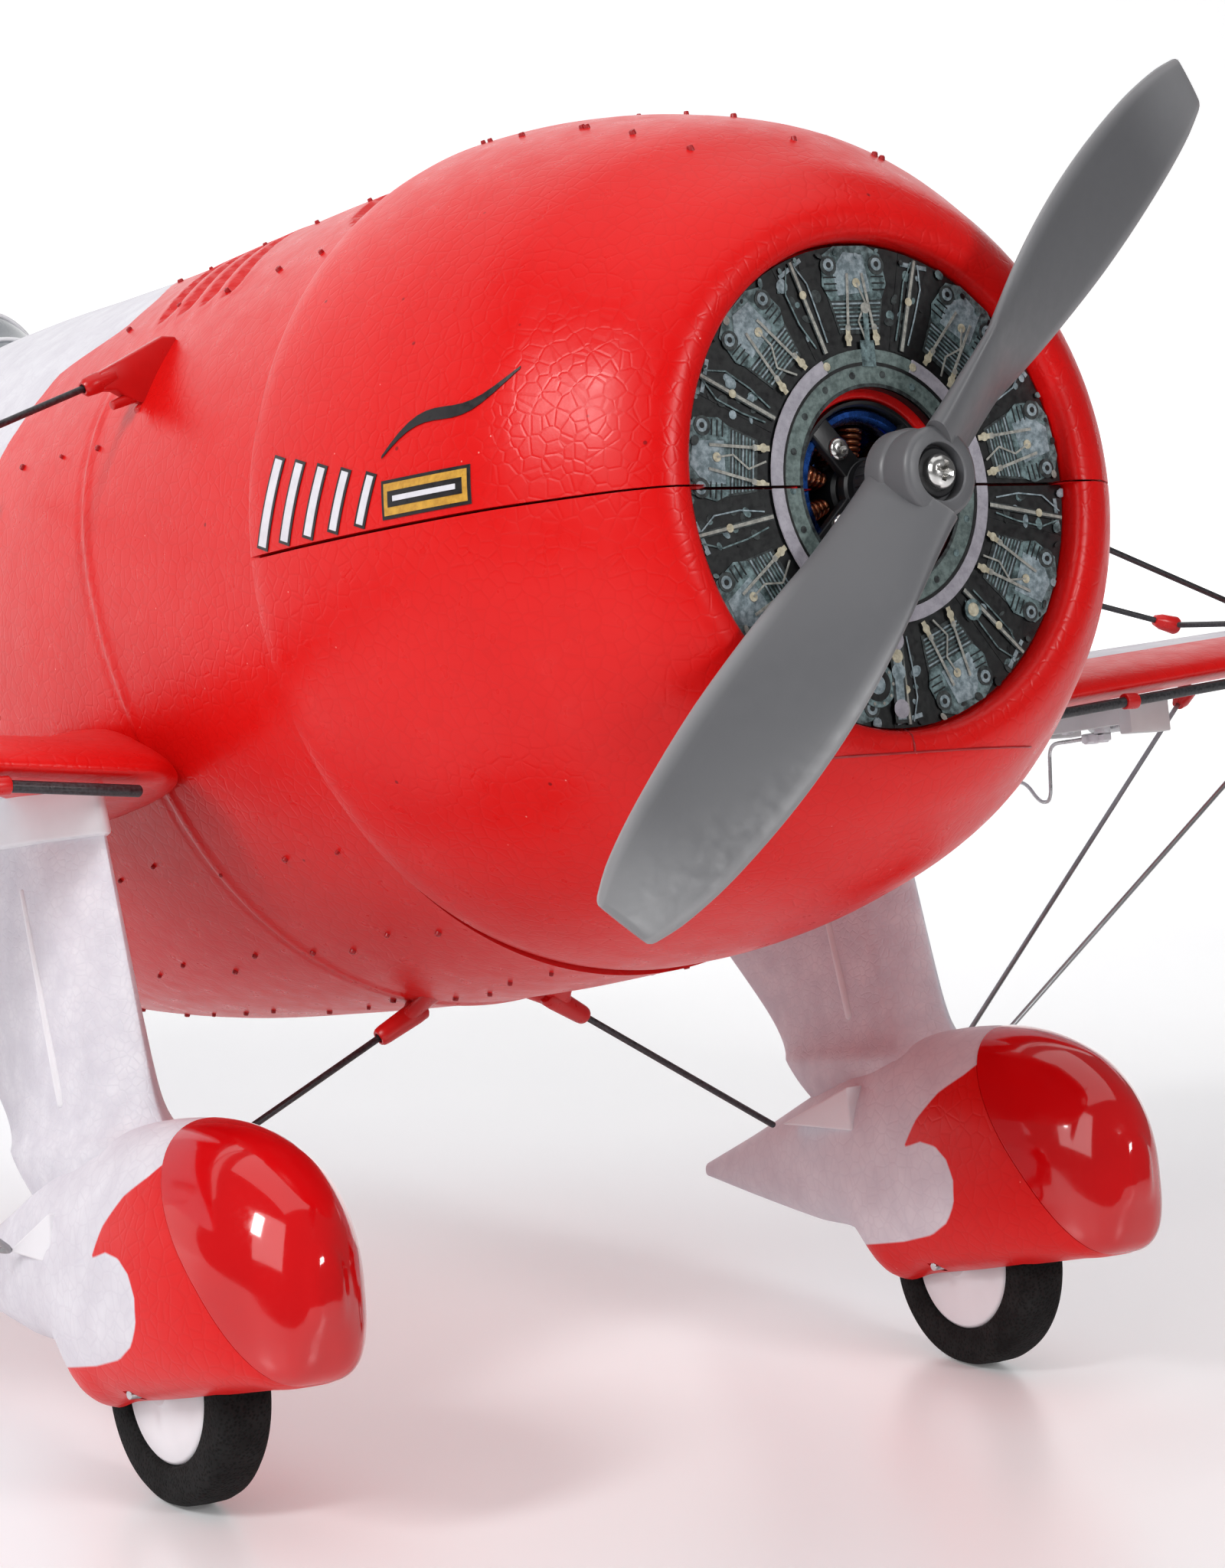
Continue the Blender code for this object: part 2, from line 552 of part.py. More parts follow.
def make_tailplane():
    front_edge = [(0, STAB_FRONT), (20, STAB_FRONT + 1), (60, STAB_FRONT + 8), (80, STAB_FRONT + 15),
                  (88, STAB_FRONT + 24), (TAIL_HALF_SPAN, STAB_FRONT + 34)]
    back = ELEVATOR_HINGE_Y - 1.7 - 0.6
    outline = [(x, y) for x, y in front_edge] + [(TAIL_HALF_SPAN, back)]
    outline += [(-x, y) for x, y in reversed(outline) if x > 0]
    stabiliser = place(prism("stabiliser", outline, "Z", TAIL_Z - 1.75, TAIL_Z + 1.75), WHITE_FOAM)
    bevel = stabiliser.modifiers.new("rounded_edges", "BEVEL")
    bevel.width = 1.2 * MM
    bevel.segments = 3
    bevel.limit_method = "ANGLE"

    pivot = (0, ELEVATOR_HINGE_Y, TAIL_Z)
    joiner = cylinder("elevator", (-12, *pivot[1:]), (12, *pivot[1:]), 1.1, sides=12)
    elevator = place(joiner, WHITE_FOAM, pivot)
    for name, side in SIDES:
        spans = ((10.0, 27.0), (30, 27.0), (60, 25.5), (78, 22.0), (86, 16.5), (89, 10.0))
        rings = [surface_ring(side * x, ELEVATOR_HINGE_Y, ELEVATOR_HINGE_Y + chord, TAIL_Z, 1.7)
                 for x, chord in spans]
        join(elevator, helper(loft(f"elevator_half_{name}", rings)))
    eye_z = TAIL_Z - ELEVATOR_HORN_ARM
    plate_with_eye("elevator_horn", "X", TAIL_ROD_X + 1.3, 1.0,
                   ((ELEVATOR_HINGE_Y - 0.5, TAIL_Z - 2.1), (ELEVATOR_HINGE_Y + 8, TAIL_Z - 2.0)),
                   (ELEVATOR_HINGE_Y, eye_z), 2.2, 1.15, pivot)


def plate_with_eye(name, axis, level, thickness, base, eye, eye_radius, hole_radius, pivot):
    """A control horn: a flat plate from a base edge to a round eye with a hole; all in mm."""
    start, end = Vector(base[0]), Vector(base[1])
    centre = Vector(eye)
    away = (centre - (start + end) / 2).normalized()
    across = Vector((-away.y, away.x)) * eye_radius * 0.8
    if across.dot(end - start) < 0:
        across = -across
    outline = [start, end, centre + across, centre - across]
    horn = place(prism(name, outline, axis, level, level + thickness), WHITE_PLASTIC, pivot)

    def along(low, high, radius, sides, part):
        ends = [list(eye), list(eye)]
        for point, at in zip(ends, (low, high)):
            point.insert("XYZ".index(axis), at)
        return helper(cylinder(part, *ends, radius, sides=sides))
    join(horn, along(level - 0.15, level + thickness + 0.15, eye_radius, 20, f"{name}_boss"))
    cut(horn, along(level - 2, level + thickness + 2, hole_radius, 16, f"{name}_eye"))


def make_rudder():
    pivot = (0, RUDDER_HINGE_Y, 0)
    heights = ((RUDDER_BOTTOM, 15, 1.8), (-17, 22, 2.1), (-5, 28, 2.2), (12, 32.5, 2.2), (30, 34.0, 2.1),
               (46, 31.5, 2.0), (57, 25.5, 1.9), (63, 17, 1.8), (RUDDER_TOP, 8, 1.7))
    rings = []
    for z, chord, half in heights:
        flat = surface_ring(0, RUDDER_HINGE_Y, RUDDER_HINGE_Y + chord, 0, half)
        rings.append([(across, y, z) for _, y, across in flat])
    rudder = place(loft("rudder", rings), WHITE_FOAM, pivot)
    stem_y = RUDDER_HINGE_Y + 3
    cut(rudder, helper(cylinder("tail_wire_hole", (0, stem_y, -60), (0, stem_y, -8.5), 0.9, sides=12)))
    eye = (-RUDDER_HORN_ARM, RUDDER_HINGE_Y)
    side_x = -2.2 - FIT
    plate_with_eye("rudder_horn", "Z", RUDDER_ROD_Z - 2.3, 1.0,
                   ((side_x, RUDDER_HINGE_Y + 1.6), (side_x, RUDDER_HINGE_Y + 6.4)), eye, 2.4, 1.6, pivot)
    wheel = (0, TAIL_WHEEL_Y, TAIL_WHEEL_Z)
    path = [(0, stem_y, -9), (0, stem_y, -34), (4.2, TAIL_WHEEL_Y - 1.5, -42),
            (4.2, TAIL_WHEEL_Y, TAIL_WHEEL_Z), (-3.6, TAIL_WHEEL_Y, TAIL_WHEEL_Z)]
    place(tube("tail_wire", path, 0.55, smooth=True), STEEL, pivot)
    profile = [(0.75, -1.9), (5.0, -1.9), (5.9, -1.0), (TAIL_WHEEL_RADIUS, 0), (5.9, 1.0), (5.0, 1.9),
               (0.75, 1.9)]
    place(turned("tail_wheel", profile, wheel, "X", sides=28), BLACK_FOAM, wheel)


def make_tail_rods():
    """Each rod starts in its servo's slider and ends in a bent pin through the horn's eye."""
    for name, x, z, end_y, pin in (
            ("elevator_rod", TAIL_ROD_X, TAIL_Z - ELEVATOR_HORN_ARM, ELEVATOR_HINGE_Y, (3.4, 0)),
            ("rudder_rod", -TAIL_ROD_X, RUDDER_ROD_Z, RUDDER_HINGE_Y, (0, -3.6))):
        slider_z = TRAY_TOP + FIT + 3.4
        path = [(x, 184, z), (x, end_y, z), (x + pin[0], end_y, z + pin[1])]
        rod = place(tube(name, path, 0.35, smooth=True), STEEL, path[0])
        side = math.copysign(1, x)
        slider_x, block_x = sorted((x - side * 2.2, x - side * 0.4)), sorted((x - side * 1.2, x + side))
        slider = box(f"{name}_slider", (slider_x[0], 181.5, slider_z), (slider_x[1], 186.5, z + 1.0))
        block = box(f"{name}_block", (block_x[0], 182, z - 0.9), (block_x[1], 186, z + 1.0))
        join(rod, helper(block), helper(slider))


# ---------------------------------------------------------------- wings

def wing_plan(x):
    """(front edge y, back edge y) of the left wing at x."""
    front = WING_LE_ROOT + WING_LE_SLOPE * (x - 50)
    back = WING_TE_ROOT + WING_TE_SLOPE * (x - 50)
    if x > TIP_START:
        reach = min((x - TIP_START) / (WING_HALF_SPAN - TIP_START), 0.9985)
        share = (1 - reach ** 2.3) ** (1 / 2.3)
        middle = front + 0.47 * (back - front)
        front, back = middle + (front - middle) * share, middle + (back - middle) * share
    return front, back


def leading_edge_z(x):
    return WING_LE_Z + DIHEDRAL * (x - WING_FILLET_X)


def wing_surface(x, share, upper):
    """Height of the wing's skin at x and a share of the chord."""
    front, back = wing_plan(x)
    chord = back - front
    flesh = 5 * THICKNESS_RATIO * chord * (0.2969 * math.sqrt(share) - 0.126 * share
                                           - 0.3516 * share ** 2 + 0.2843 * share ** 3
                                           - 0.1015 * share ** 4)
    flesh = max(flesh, 0.45 * share) if share > 0 else 0
    camber = 4 * CAMBER * chord * share * (1 - share)
    return leading_edge_z(x) + camber + (flesh if upper else -flesh * 0.8)


def wing_ring(side, x, grow=0.0, steps=10):
    front, back = wing_plan(x)
    upper, lower = [], []
    for k in range(steps + 1):
        share = (1 - math.cos(math.pi * k / steps)) / 2
        y = front - grow + (back - front + 2 * grow) * share
        upper.append((side * x, y, wing_surface(x, share, True) + grow))
        if 0 < k:
            lower.append((side * x, y, wing_surface(x, share, False) - grow))
    return list(reversed(upper)) + lower


def wing_stations():
    return [WING_ROOT, 60, 100, 145, TIP_START, 212, 228, 240, 248, 252.5, 254.6, WING_HALF_SPAN]


def aileron_hinge(x):
    """(y, z, half thickness) of the aileron's hinge line at x; the line is straight."""
    ends = []
    for at, chord in ((AILERON_IN, AILERON_CHORD_IN), (AILERON_OUT, AILERON_CHORD_OUT)):
        front, back = wing_plan(at)
        share = (back - chord - front) / (back - front)
        top, low = wing_surface(at, share, True), wing_surface(at, share, False)
        ends.append((back - chord, (top + low) / 2, (top - low) / 2))
    t = (x - AILERON_IN) / (AILERON_OUT - AILERON_IN)
    return tuple(a + (b - a) * t for a, b in zip(*ends))


def make_wing(name, side):
    wing = place(loft(f"wing_{name}", [wing_ring(side, x) for x in wing_stations()]), RED_FOAM)
    y_in, _, half_in = aileron_hinge(AILERON_IN)
    y_out, _, half_out = aileron_hinge(AILERON_OUT)
    end_gap, nose_gap = 1.1, 0.6
    bay = [(side * (AILERON_IN - end_gap), y_in - half_in - nose_gap),
           (side * (AILERON_OUT + end_gap), y_out - half_out - nose_gap),
           (side * (AILERON_OUT + end_gap), 200), (side * (AILERON_IN - end_gap), 200)]
    cut(wing, helper(prism(f"aileron_bay_{name}", bay, "Z", -60, 40)), ENVELOPE)

    pivot = (side * AILERON_IN, *aileron_hinge(AILERON_IN)[:2])
    rings = []
    for k in range(7):
        x = AILERON_IN + (AILERON_OUT - AILERON_IN) * k / 6
        hinge_y, hinge_z, half = aileron_hinge(x)
        back = wing_plan(x)[1]
        back_z = (wing_surface(x, 1, True) + wing_surface(x, 1, False)) / 2
        ring = surface_ring(side * x, hinge_y, back, hinge_z, half * 0.96)
        rings.append([(px, y, z if y < back else z + back_z - hinge_z) for px, y, z in ring])
    place(loft(f"aileron_{name}", rings), RED_FOAM, pivot)

    x = AILERON_ROD_X
    hinge_y, hinge_z, half = aileron_hinge(x)
    eye = (hinge_y, hinge_z - AILERON_HORN_ARM)
    level = side * (x + 1.3) - (0 if side > 0 else 1.0)
    low = hinge_z - half - 0.3
    plate_with_eye(f"aileron_horn_{name}", "X", level, 1.0, ((hinge_y - 1.0, low), (hinge_y + 8, low - 0.2)),
                   eye, 2.4, 1.4, pivot)
    servo_top = min(wing_surface(x - 3, share, False) for share in (0.25, 0.5)) - FIT
    servo_z = servo_top - 2.7
    linear_servo(f"aileron_servo_{name}", side, (side * (x + 1), 109, servo_z), -1)
    rod_z = eye[1]
    start_z = servo_z - 2.4
    path = [(side * x, 109.0, start_z), (side * x, 119.6, start_z), (side * x, 120.5, rod_z - 3.6),
            (side * x, 123.0, rod_z - 3.6), (side * x, 126.0, rod_z), (side * x, hinge_y, rod_z),
            (side * (x + 3.6), hinge_y, rod_z)]
    rod = place(tube(f"aileron_rod_{name}", path, 0.35, smooth=True), STEEL, path[0])
    low_x, high_x = sorted((side * (x - 0.8), side * (x + 0.9)))
    join(rod, helper(box(f"slider_{name}", (low_x, 106.5, start_z - 0.7),
                         (high_x, 111.5, start_z + 2.6))))

    rod_path = [(side * at, wing_plan(at)[0] + 0.3, leading_edge_z(at) - 2.5) for at in (58.0, 205.0)]
    place(tube(f"wing_rod_{name}", rod_path, 0.75), CARBON)


# ---------------------------------------------------------------- undercarriage

def pant_rings(side, grow=0.0, count=20):
    x = side * TRACK_X
    rings = []
    for y, w, top, bottom in PANT_STATIONS:
        waist = bottom + 0.48 * (top - bottom)
        rings.append(oval(y, w + grow, top + grow, bottom - grow, count, exponent=2.1, lower_exponent=3.2,
                          centre_x=x, waist=waist))
    return rings


def leg_edges(z):
    """(front y, back y) of the leg at height z."""
    t = (z + 27) / (-63.5 + 27)
    front = 85 - 7 * t
    back = smooth_table(((-70, 107), (-68.9, 108.7), (-60, 115.5), (-51.3, 123.4), (-40, 134), (-27, 147),
                         (-18, 152)), z)[0]
    return front, back


def leg_ring(side, z, count=18):
    front, back = leg_edges(z)
    ring = []
    for k in range(count):
        turn = 2 * math.pi * k / count
        along = (1 - math.cos(turn)) / 2
        half = LEG_HALF_THICKNESS * min(1.0, (along * 6) ** 0.5) * (1 - 0.62 * along ** 2)
        ring.append((side * TRACK_X + half * math.copysign(abs(math.sin(turn)) ** 0.35, math.sin(turn))
                     if 0 < along < 1 else side * TRACK_X, front + (back - front) * along, z))
    return ring


def nose_block(name, side, shift):
    """Everything in front of the slanted seam of the wheel pant, moved aft by shift."""
    (y0, z0), (y1, z1) = NOSE_CUT_TOP, NOSE_CUT_BOTTOM
    slope = (y0 - y1) / (z0 - z1)
    high, low = -40, -120
    outline = [(y0 + slope * (high - z0) + shift, high), (y0 + slope * (low - z0) + shift, low), (-20, low),
               (-20, high)]
    x = side * TRACK_X
    return helper(prism(name, outline, "X", x - 30, x + 30))


def make_gear(name, side):
    x = side * TRACK_X
    wheel = (x, WHEEL_Y, WHEEL_Z)
    pant = place(loft(f"wheel_pant_{name}", pant_rings(side)), WHITE_FOAM)

    def across(part, half, radius, sides):
        ends = ((x - half, WHEEL_Y, WHEEL_Z), (x + half, WHEEL_Y, WHEEL_Z))
        return cylinder(f"{part}_{name}", *ends, radius, sides=sides)
    well = helper(across("wheel_well", WELL_HALF_WIDTH, WELL_RADIUS, 36))
    axle_hole = helper(across("axle_hole", AXLE_HALF_LENGTH + FIT, AXLE_RADIUS + FIT, 12))
    cut(pant, well, axle_hole, nose_block(f"nose_space_{name}", side, FIT / 2))
    cap = place(loft(f"pant_nose_{name}", pant_rings(side)), RED_PLASTIC)
    keep(cap, nose_block(f"nose_keep_{name}", side, -FIT / 2))
    cut(cap, helper(loft(f"nose_core_{name}", pant_rings(side, -1.2)[2:])), well)

    leg = place(loft(f"gear_leg_{name}", [leg_ring(side, z) for z in
                                          (LEG_TOP, -27, -34, -43, -51.3, -60, LEG_BOTTOM)]), WHITE_FOAM)
    cut(leg, helper(loft(f"wing_space_{name}", [wing_ring(side, at, FIT) for at in (45, 60, 80)])),
        helper(loft(f"pant_space_{name}", pant_rings(side, FIT))))

    place(across("axle", AXLE_HALF_LENGTH, AXLE_RADIUS, 12), STEEL)
    half = TYRE_WIDTH / 2
    tread = [(DISC_RADIUS + FIT, -half + 0.3), (TYRE_RADIUS - 1.2, -half), (TYRE_RADIUS - 0.2, -half + 1.1),
             (TYRE_RADIUS, 0), (TYRE_RADIUS - 0.2, half - 1.1), (TYRE_RADIUS - 1.2, half),
             (DISC_RADIUS + FIT, half - 0.3)]
    place(turned(f"tyre_{name}", tread, wheel, "X", sides=32), BLACK_FOAM, wheel)
    disc = [(AXLE_RADIUS + 0.12, -half - 0.1), (3.0, -half - 0.1), (DISC_RADIUS, -half + 0.8),
            (DISC_RADIUS, half - 0.8), (3.0, half + 0.1), (AXLE_RADIUS + 0.12, half + 0.1)]
    place(turned(f"wheel_disc_{name}", disc, wheel, "X", sides=24), WHITE_PLASTIC, wheel)


# ---------------------------------------------------------------- rigging

def mirrored(point, side):
    return (side * point[0], point[1], point[2])


def make_bracket(name, side, tip, root, wire_end, plate):
    """A moulded lug: a barrel on the wire's line and a foot plate on the foam."""
    tip, root = Vector(mirrored(tip, side)), Vector(mirrored(root, side))
    towards = (Vector(mirrored(wire_end, side)) - tip).normalized()
    lug = place(cylinder(name, root, tip, 2.0, 1.5, sides=16), RED_PLASTIC)
    foot_low = [min(side * a, side * b) if i == 0 else a for i, (a, b) in enumerate(zip(*plate))]
    foot_high = [max(side * a, side * b) if i == 0 else b for i, (a, b) in enumerate(zip(*plate))]
    join(lug, helper(box(f"{name}_foot", foot_low, foot_high)))
    cut(lug, ENVELOPE, helper(cylinder(f"{name}_socket", tip - towards * 3, tip + towards * 3,
                                       WIRE_RADIUS + FIT, sides=12)))
    return tip - towards * 2.4


def make_rigging(name, side):
    start = make_bracket(f"belly_bracket_{name}", side, BELLY_TIP, (8.0, 98.5, -52.4), PANT_ANCHOR,
                         ((3.6, 94.5, -60), (9.6, 102.5, -48)))
    end = mirrored(PANT_ANCHOR, side)
    place(tube(f"belly_wire_{name}", [start, end], WIRE_RADIUS), CARBON)
    start = make_bracket(f"shoulder_bracket_{name}", side, SHOULDER_TIP, (42.6, 100.0, 27.2), UPPER_ANCHOR,
                         ((38.0, 96, 22.0), (45.2, 104, 31.5)))
    anchor = mirrored(UPPER_ANCHOR, side)
    rear_anchor = (side * 147.0, 116.0, -6.8)
    flank = (side * 50.2, 130.0, 20.0)
    place(tube(f"upper_wire_{name}", [start, anchor, rear_anchor, flank], WIRE_RADIUS, smooth=True), CARBON)
    front, rear = (mirrored(p, side) for p in LOWER_ANCHORS)
    feet = [mirrored(p, side) for p in LOWER_FEET]
    place(tube(f"lower_wire_{name}", [front, feet[0], feet[1], rear], WIRE_RADIUS, smooth=True), STEEL)


make_fuselage()
make_engine_faces()
make_motor()
make_propeller()
make_equipment()
make_canopy_and_fin()
make_tailplane()
make_rudder()
make_tail_rods()
for side_name, side_sign in SIDES:
    make_wing(side_name, side_sign)
    make_gear(side_name, side_sign)
    make_rigging(side_name, side_sign)
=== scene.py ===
"""Looks of the foam racing aeroplane: foam shells, paint, prints, wires and hardware around the CAD.

Shapes are worked out in the aircraft's own frame in millimetres (X to its left wing, Y aft from the
propeller disc, Z up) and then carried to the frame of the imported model, where it stands nose-up on its
wheels.
"""
import math
import random

import bmesh
import bpy
from mathutils import Matrix, Vector


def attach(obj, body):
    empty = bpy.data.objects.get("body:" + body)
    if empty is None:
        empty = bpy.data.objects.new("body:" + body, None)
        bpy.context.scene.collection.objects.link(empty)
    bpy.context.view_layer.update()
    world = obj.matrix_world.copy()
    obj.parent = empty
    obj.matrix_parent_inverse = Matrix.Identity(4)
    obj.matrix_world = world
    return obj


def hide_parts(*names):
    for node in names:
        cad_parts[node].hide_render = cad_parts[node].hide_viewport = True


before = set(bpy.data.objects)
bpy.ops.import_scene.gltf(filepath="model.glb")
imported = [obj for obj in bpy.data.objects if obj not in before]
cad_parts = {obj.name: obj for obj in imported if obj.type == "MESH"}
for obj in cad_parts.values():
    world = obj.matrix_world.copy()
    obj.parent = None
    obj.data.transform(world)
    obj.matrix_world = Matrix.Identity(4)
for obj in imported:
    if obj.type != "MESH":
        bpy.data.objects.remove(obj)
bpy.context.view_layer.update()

MM = 0.001
FIT = 0.3
SIDES = (("left", 1), ("right", -1))
NOSE_UP = math.radians(12.0)
MIDDLE_Y, RIDE_HEIGHT = 170.29, 122.53
AIRCRAFT = (Matrix.Translation((0, -MIDDLE_Y * MM, RIDE_HEIGHT * MM)) @ Matrix.Rotation(-NOSE_UP, 4, "X")
            @ Matrix.Scale(MM, 4))

# Cowl and fuselage, as the CAD has them
COWL_PROFILE = ((5.8, 30.4), (6.0, 31.6), (6.8, 33.0), (9.0, 35.8), (13.3, 39.1), (22.3, 44.7),
                (36.0, 48.9), (48.0, 51.1), (58.0, 51.9), (60.6, 51.7))
BODY_STATIONS = ((61.4, 50.1, 50.1, -52.4), (80, 50.3, 50.4, -53.6), (100, 50.0, 50.1, -54.1),
                 (125, 48.7, 49.7, -54.0), (150, 45.9, 50.3, -53.4), (175, 41.7, 51.2, -51.2),
                 (200, 36.0, 51.0, -47.2), (225, 29.6, 47.4, -42.0), (250, 22.9, 41.2, -36.2),
                 (275, 16.2, 33.2, -30.6), (300, 9.6, 25.4, -25.0), (315.2, 5.8, 20.4, -21.6))
OPENING_RADIUS, LIP_Y = 27.9, 5.8
COWL_BACK = 60.6
SEAM = 0.34
BULKHEAD_FRONT, BULKHEAD_BACK, MOTOR_HOLE_RADIUS = 9.8, 14.0, 10.35
TAIL_Z, ELEVATOR_HINGE_Y = 6.0, 305.0
RUDDER_HINGE_Y = 318.0


# ---------------------------------------------------------------- node helpers

class Shader:
    """Short ways to add nodes to one material."""

    def __init__(self, name, base, roughness, metallic=0.0, **sockets):
        self.material = bpy.data.materials.new(name)
        self.material.use_nodes = True
        self.tree = self.material.node_tree
        self.principled = self.tree.nodes["Principled BSDF"]
        self.set(self.principled, "Base Color", base)
        self.set(self.principled, "Roughness", roughness)
        self.set(self.principled, "Metallic", metallic)
        for socket, value in sockets.items():
            self.set(self.principled, socket.replace("_", " "), value)
        self.place = None

    def set(self, node, socket, value):
        if isinstance(value, bpy.types.NodeSocket):
            self.tree.links.new(value, node.inputs[socket])
        elif isinstance(value, tuple) and len(value) == 3 and node.inputs[socket].type == "RGBA":
            node.inputs[socket].default_value = (*value, 1.0)
        else:
            node.inputs[socket].default_value = value

    def math(self, operation, a, b=0.0, clamp=False):
        node = self.tree.nodes.new("ShaderNodeMath")
        node.operation = operation
        node.use_clamp = clamp
        self.set(node, 0, a)
        self.set(node, 1, b)
        return node.outputs[0]

    def position(self):
        """The surface point in the object's own frame, in metres; the object rides with its body."""
        if self.place is None:
            self.place = self.tree.nodes.new("ShaderNodeTexCoord").outputs["Object"]
        return self.place

    def attribute(self, name, output="Fac"):
        node = self.tree.nodes.new("ShaderNodeAttribute")
        node.attribute_name = name
        return node.outputs[output]

    def noise(self, size_mm, detail=2.0, roughness=0.5, output="Fac"):
        node = self.tree.nodes.new("ShaderNodeTexNoise")
        self.set(node, "Vector", self.position())
        node.inputs["Scale"].default_value = 1000.0 / size_mm
        node.inputs["Detail"].default_value = detail
        node.inputs["Roughness"].default_value = roughness
        return node.outputs[output]

    def voronoi(self, size_mm, feature="F1", output="Distance", randomness=1.0):
        node = self.tree.nodes.new("ShaderNodeTexVoronoi")
        node.feature = feature
        self.set(node, "Vector", self.position())
        node.inputs["Scale"].default_value = 1000.0 / size_mm
        node.inputs["Randomness"].default_value = randomness
        return node.outputs[output]

    def ramp(self, value, low, high, from_value=0.0, to_value=1.0):
        node = self.tree.nodes.new("ShaderNodeMapRange")
        self.set(node, "Value", value)
        node.inputs["From Min"].default_value = low
        node.inputs["From Max"].default_value = high
        node.inputs["To Min"].default_value = from_value
        node.inputs["To Max"].default_value = to_value
        return node.outputs["Result"]

    def mix(self, factor, a, b):
        node = self.tree.nodes.new("ShaderNodeMix")
        node.data_type = "RGBA"
        for index, value in ((0, factor), (6, a), (7, b)):
            self.set(node, index, value)
        return node.outputs[2]

    def bump(self, height, depth_mm, strength=1.0, normal=None):
        node = self.tree.nodes.new("ShaderNodeBump")
        node.inputs["Strength"].default_value = strength
        node.inputs["Distance"].default_value = depth_mm * MM
        self.set(node, "Height", height)
        if normal is not None:
            self.set(node, "Normal", normal)
        return node.outputs["Normal"]

    def finish(self, colour=None, roughness=None, normal=None):
        if colour is not None:
            self.set(self.principled, "Base Color", colour)
        if roughness is not None:
            self.set(self.principled, "Roughness", roughness)
        if normal is not None:
            self.set(self.principled, "Normal", normal)
        return self.material


# the deepest red is painted shade, used in the grooves between the foam beads
RED_GROOVE_SHADE, RED, RED_LIGHT = (0.50, 0.003, 0.003), (0.70, 0.004, 0.004), (0.76, 0.008, 0.007)
WHITE_PAINT = (0.80, 0.785, 0.83)


def bead_height(s, bead_mm):
    """Moulded bead foam: flattened cells with fine grooves between them, and a low ripple."""
    cells = s.ramp(s.voronoi(bead_mm, "DISTANCE_TO_EDGE"), 0.0, 0.12)
    ripple = s.noise(bead_mm * 0.5, 3.0, 0.6)
    dimple = s.noise(bead_mm * 2.6, 2.0)
    height = s.math("ADD", s.math("MULTIPLY", cells, 0.55), s.math("MULTIPLY", ripple, 0.5))
    return s.math("ADD", height, s.math("MULTIPLY", dimple, 0.5))


def painted_foam(name, bead_mm=1.7, depth_mm=0.04, red_roughness=0.29):
    """Painted bead foam; where the mesh carries a paint attribute, 1 is red and 0 is white. The grooves
    between the beads are darkened as painted shade.
    """
    s = Shader(name, RED, red_roughness, Specular_IOR_Level=0.27)
    red = s.mix(s.ramp(s.noise(30.0, 2.0), 0.3, 0.7), RED, RED_LIGHT)
    groove = s.ramp(s.voronoi(bead_mm, "DISTANCE_TO_EDGE"), 0.0, 0.09)
    # painted shade: the red is darkened in the grooves between the beads, where shade falls
    red = s.mix(s.ramp(groove, 0.0, 1.0, 0.86, 1.0), RED_GROOVE_SHADE, red)
    red = s.mix(s.ramp(s.voronoi(8.5), 0.018, 0.036), (0.30, 0.002, 0.004), red)
    dust = s.ramp(s.voronoi(4.3, randomness=0.9), 0.012, 0.03)
    red = s.mix(dust, (0.92, 0.30, 0.26), red)
    white = s.mix(s.ramp(s.noise(5.0, 3.0), 0.35, 0.75), (0.70, 0.675, 0.73), WHITE_PAINT)
    # painted shade: the white is darkened in the grooves between the beads, where shade falls
    white = s.mix(s.ramp(groove, 0.0, 1.0, 0.7, 1.0), (0.62, 0.59, 0.66), white)
    paint = s.ramp(s.attribute("paint"), 0.46, 0.54)
    colour = s.mix(paint, white, red)
    gloss = s.ramp(s.noise(3.2, 2.0), 0.2, 0.8, red_roughness - 0.05, red_roughness + 0.09)
    gloss = s.math("ADD", gloss, s.math("MULTIPLY", s.math("SUBTRACT", 1.0, paint), 0.16))
    normal = s.bump(bead_height(s, bead_mm), depth_mm, 0.75)
    return s.finish(colour, gloss, normal)


def white_foam(name, bead_mm=1.1, depth_mm=0.06):
    s = Shader(name, WHITE_PAINT, 0.5)
    groove = s.ramp(s.voronoi(bead_mm, "DISTANCE_TO_EDGE"), 0.0, 0.14)
    white = s.mix(s.ramp(s.noise(4.0, 3.0), 0.35, 0.75), (0.66, 0.64, 0.70), WHITE_PAINT)
    # painted shade: the white is darkened in the grooves between the beads, where shade falls
    colour = s.mix(s.ramp(groove, 0.0, 1.0, 0.45, 1.0), (0.69, 0.67, 0.735), white)
    rough = s.ramp(s.noise(2.4, 2.0), 0.25, 0.8, 0.42, 0.6)
    return s.finish(colour, rough, s.bump(bead_height(s, bead_mm), depth_mm, 0.8))


def gloss_plastic(name, colour, deep, roughness=0.09):
    """Thin moulded sheet: a clear gloss with a slow orange-peel ripple and fine dust."""
    s = Shader(name, colour, roughness, Coat_Weight=0.6, Coat_Roughness=0.04)
    tint = s.mix(s.ramp(s.noise(16.0, 2.0), 0.35, 0.65), deep, colour)
    rough = s.ramp(s.noise(0.8, 3.0), 0.45, 0.75, roughness, roughness + 0.07)
    return s.finish(tint, rough, s.bump(s.noise(7.0, 1.0), 0.03, 0.35))


def satin_plastic(name, colour, roughness=0.42, grain_mm=0.35, depth_mm=0.012, drift=0.12, **sockets):
    """Injection-moulded plastic: slow tone drift, fine sparkle texture and faint flow marks."""
    s = Shader(name, colour, roughness, **sockets)
    dark = tuple(c * (1 - drift) for c in colour)
    light = tuple(min(c * (1 + drift), 1) for c in colour)
    tone = s.mix(s.ramp(s.noise(9.0, 3.0), 0.3, 0.7), dark, light)
    rough = s.ramp(s.noise(2.0, 4.0), 0.3, 0.7, roughness - 0.05, roughness + 0.07)
    return s.finish(tone, rough, s.bump(s.noise(grain_mm, 2.0), depth_mm, 0.5))


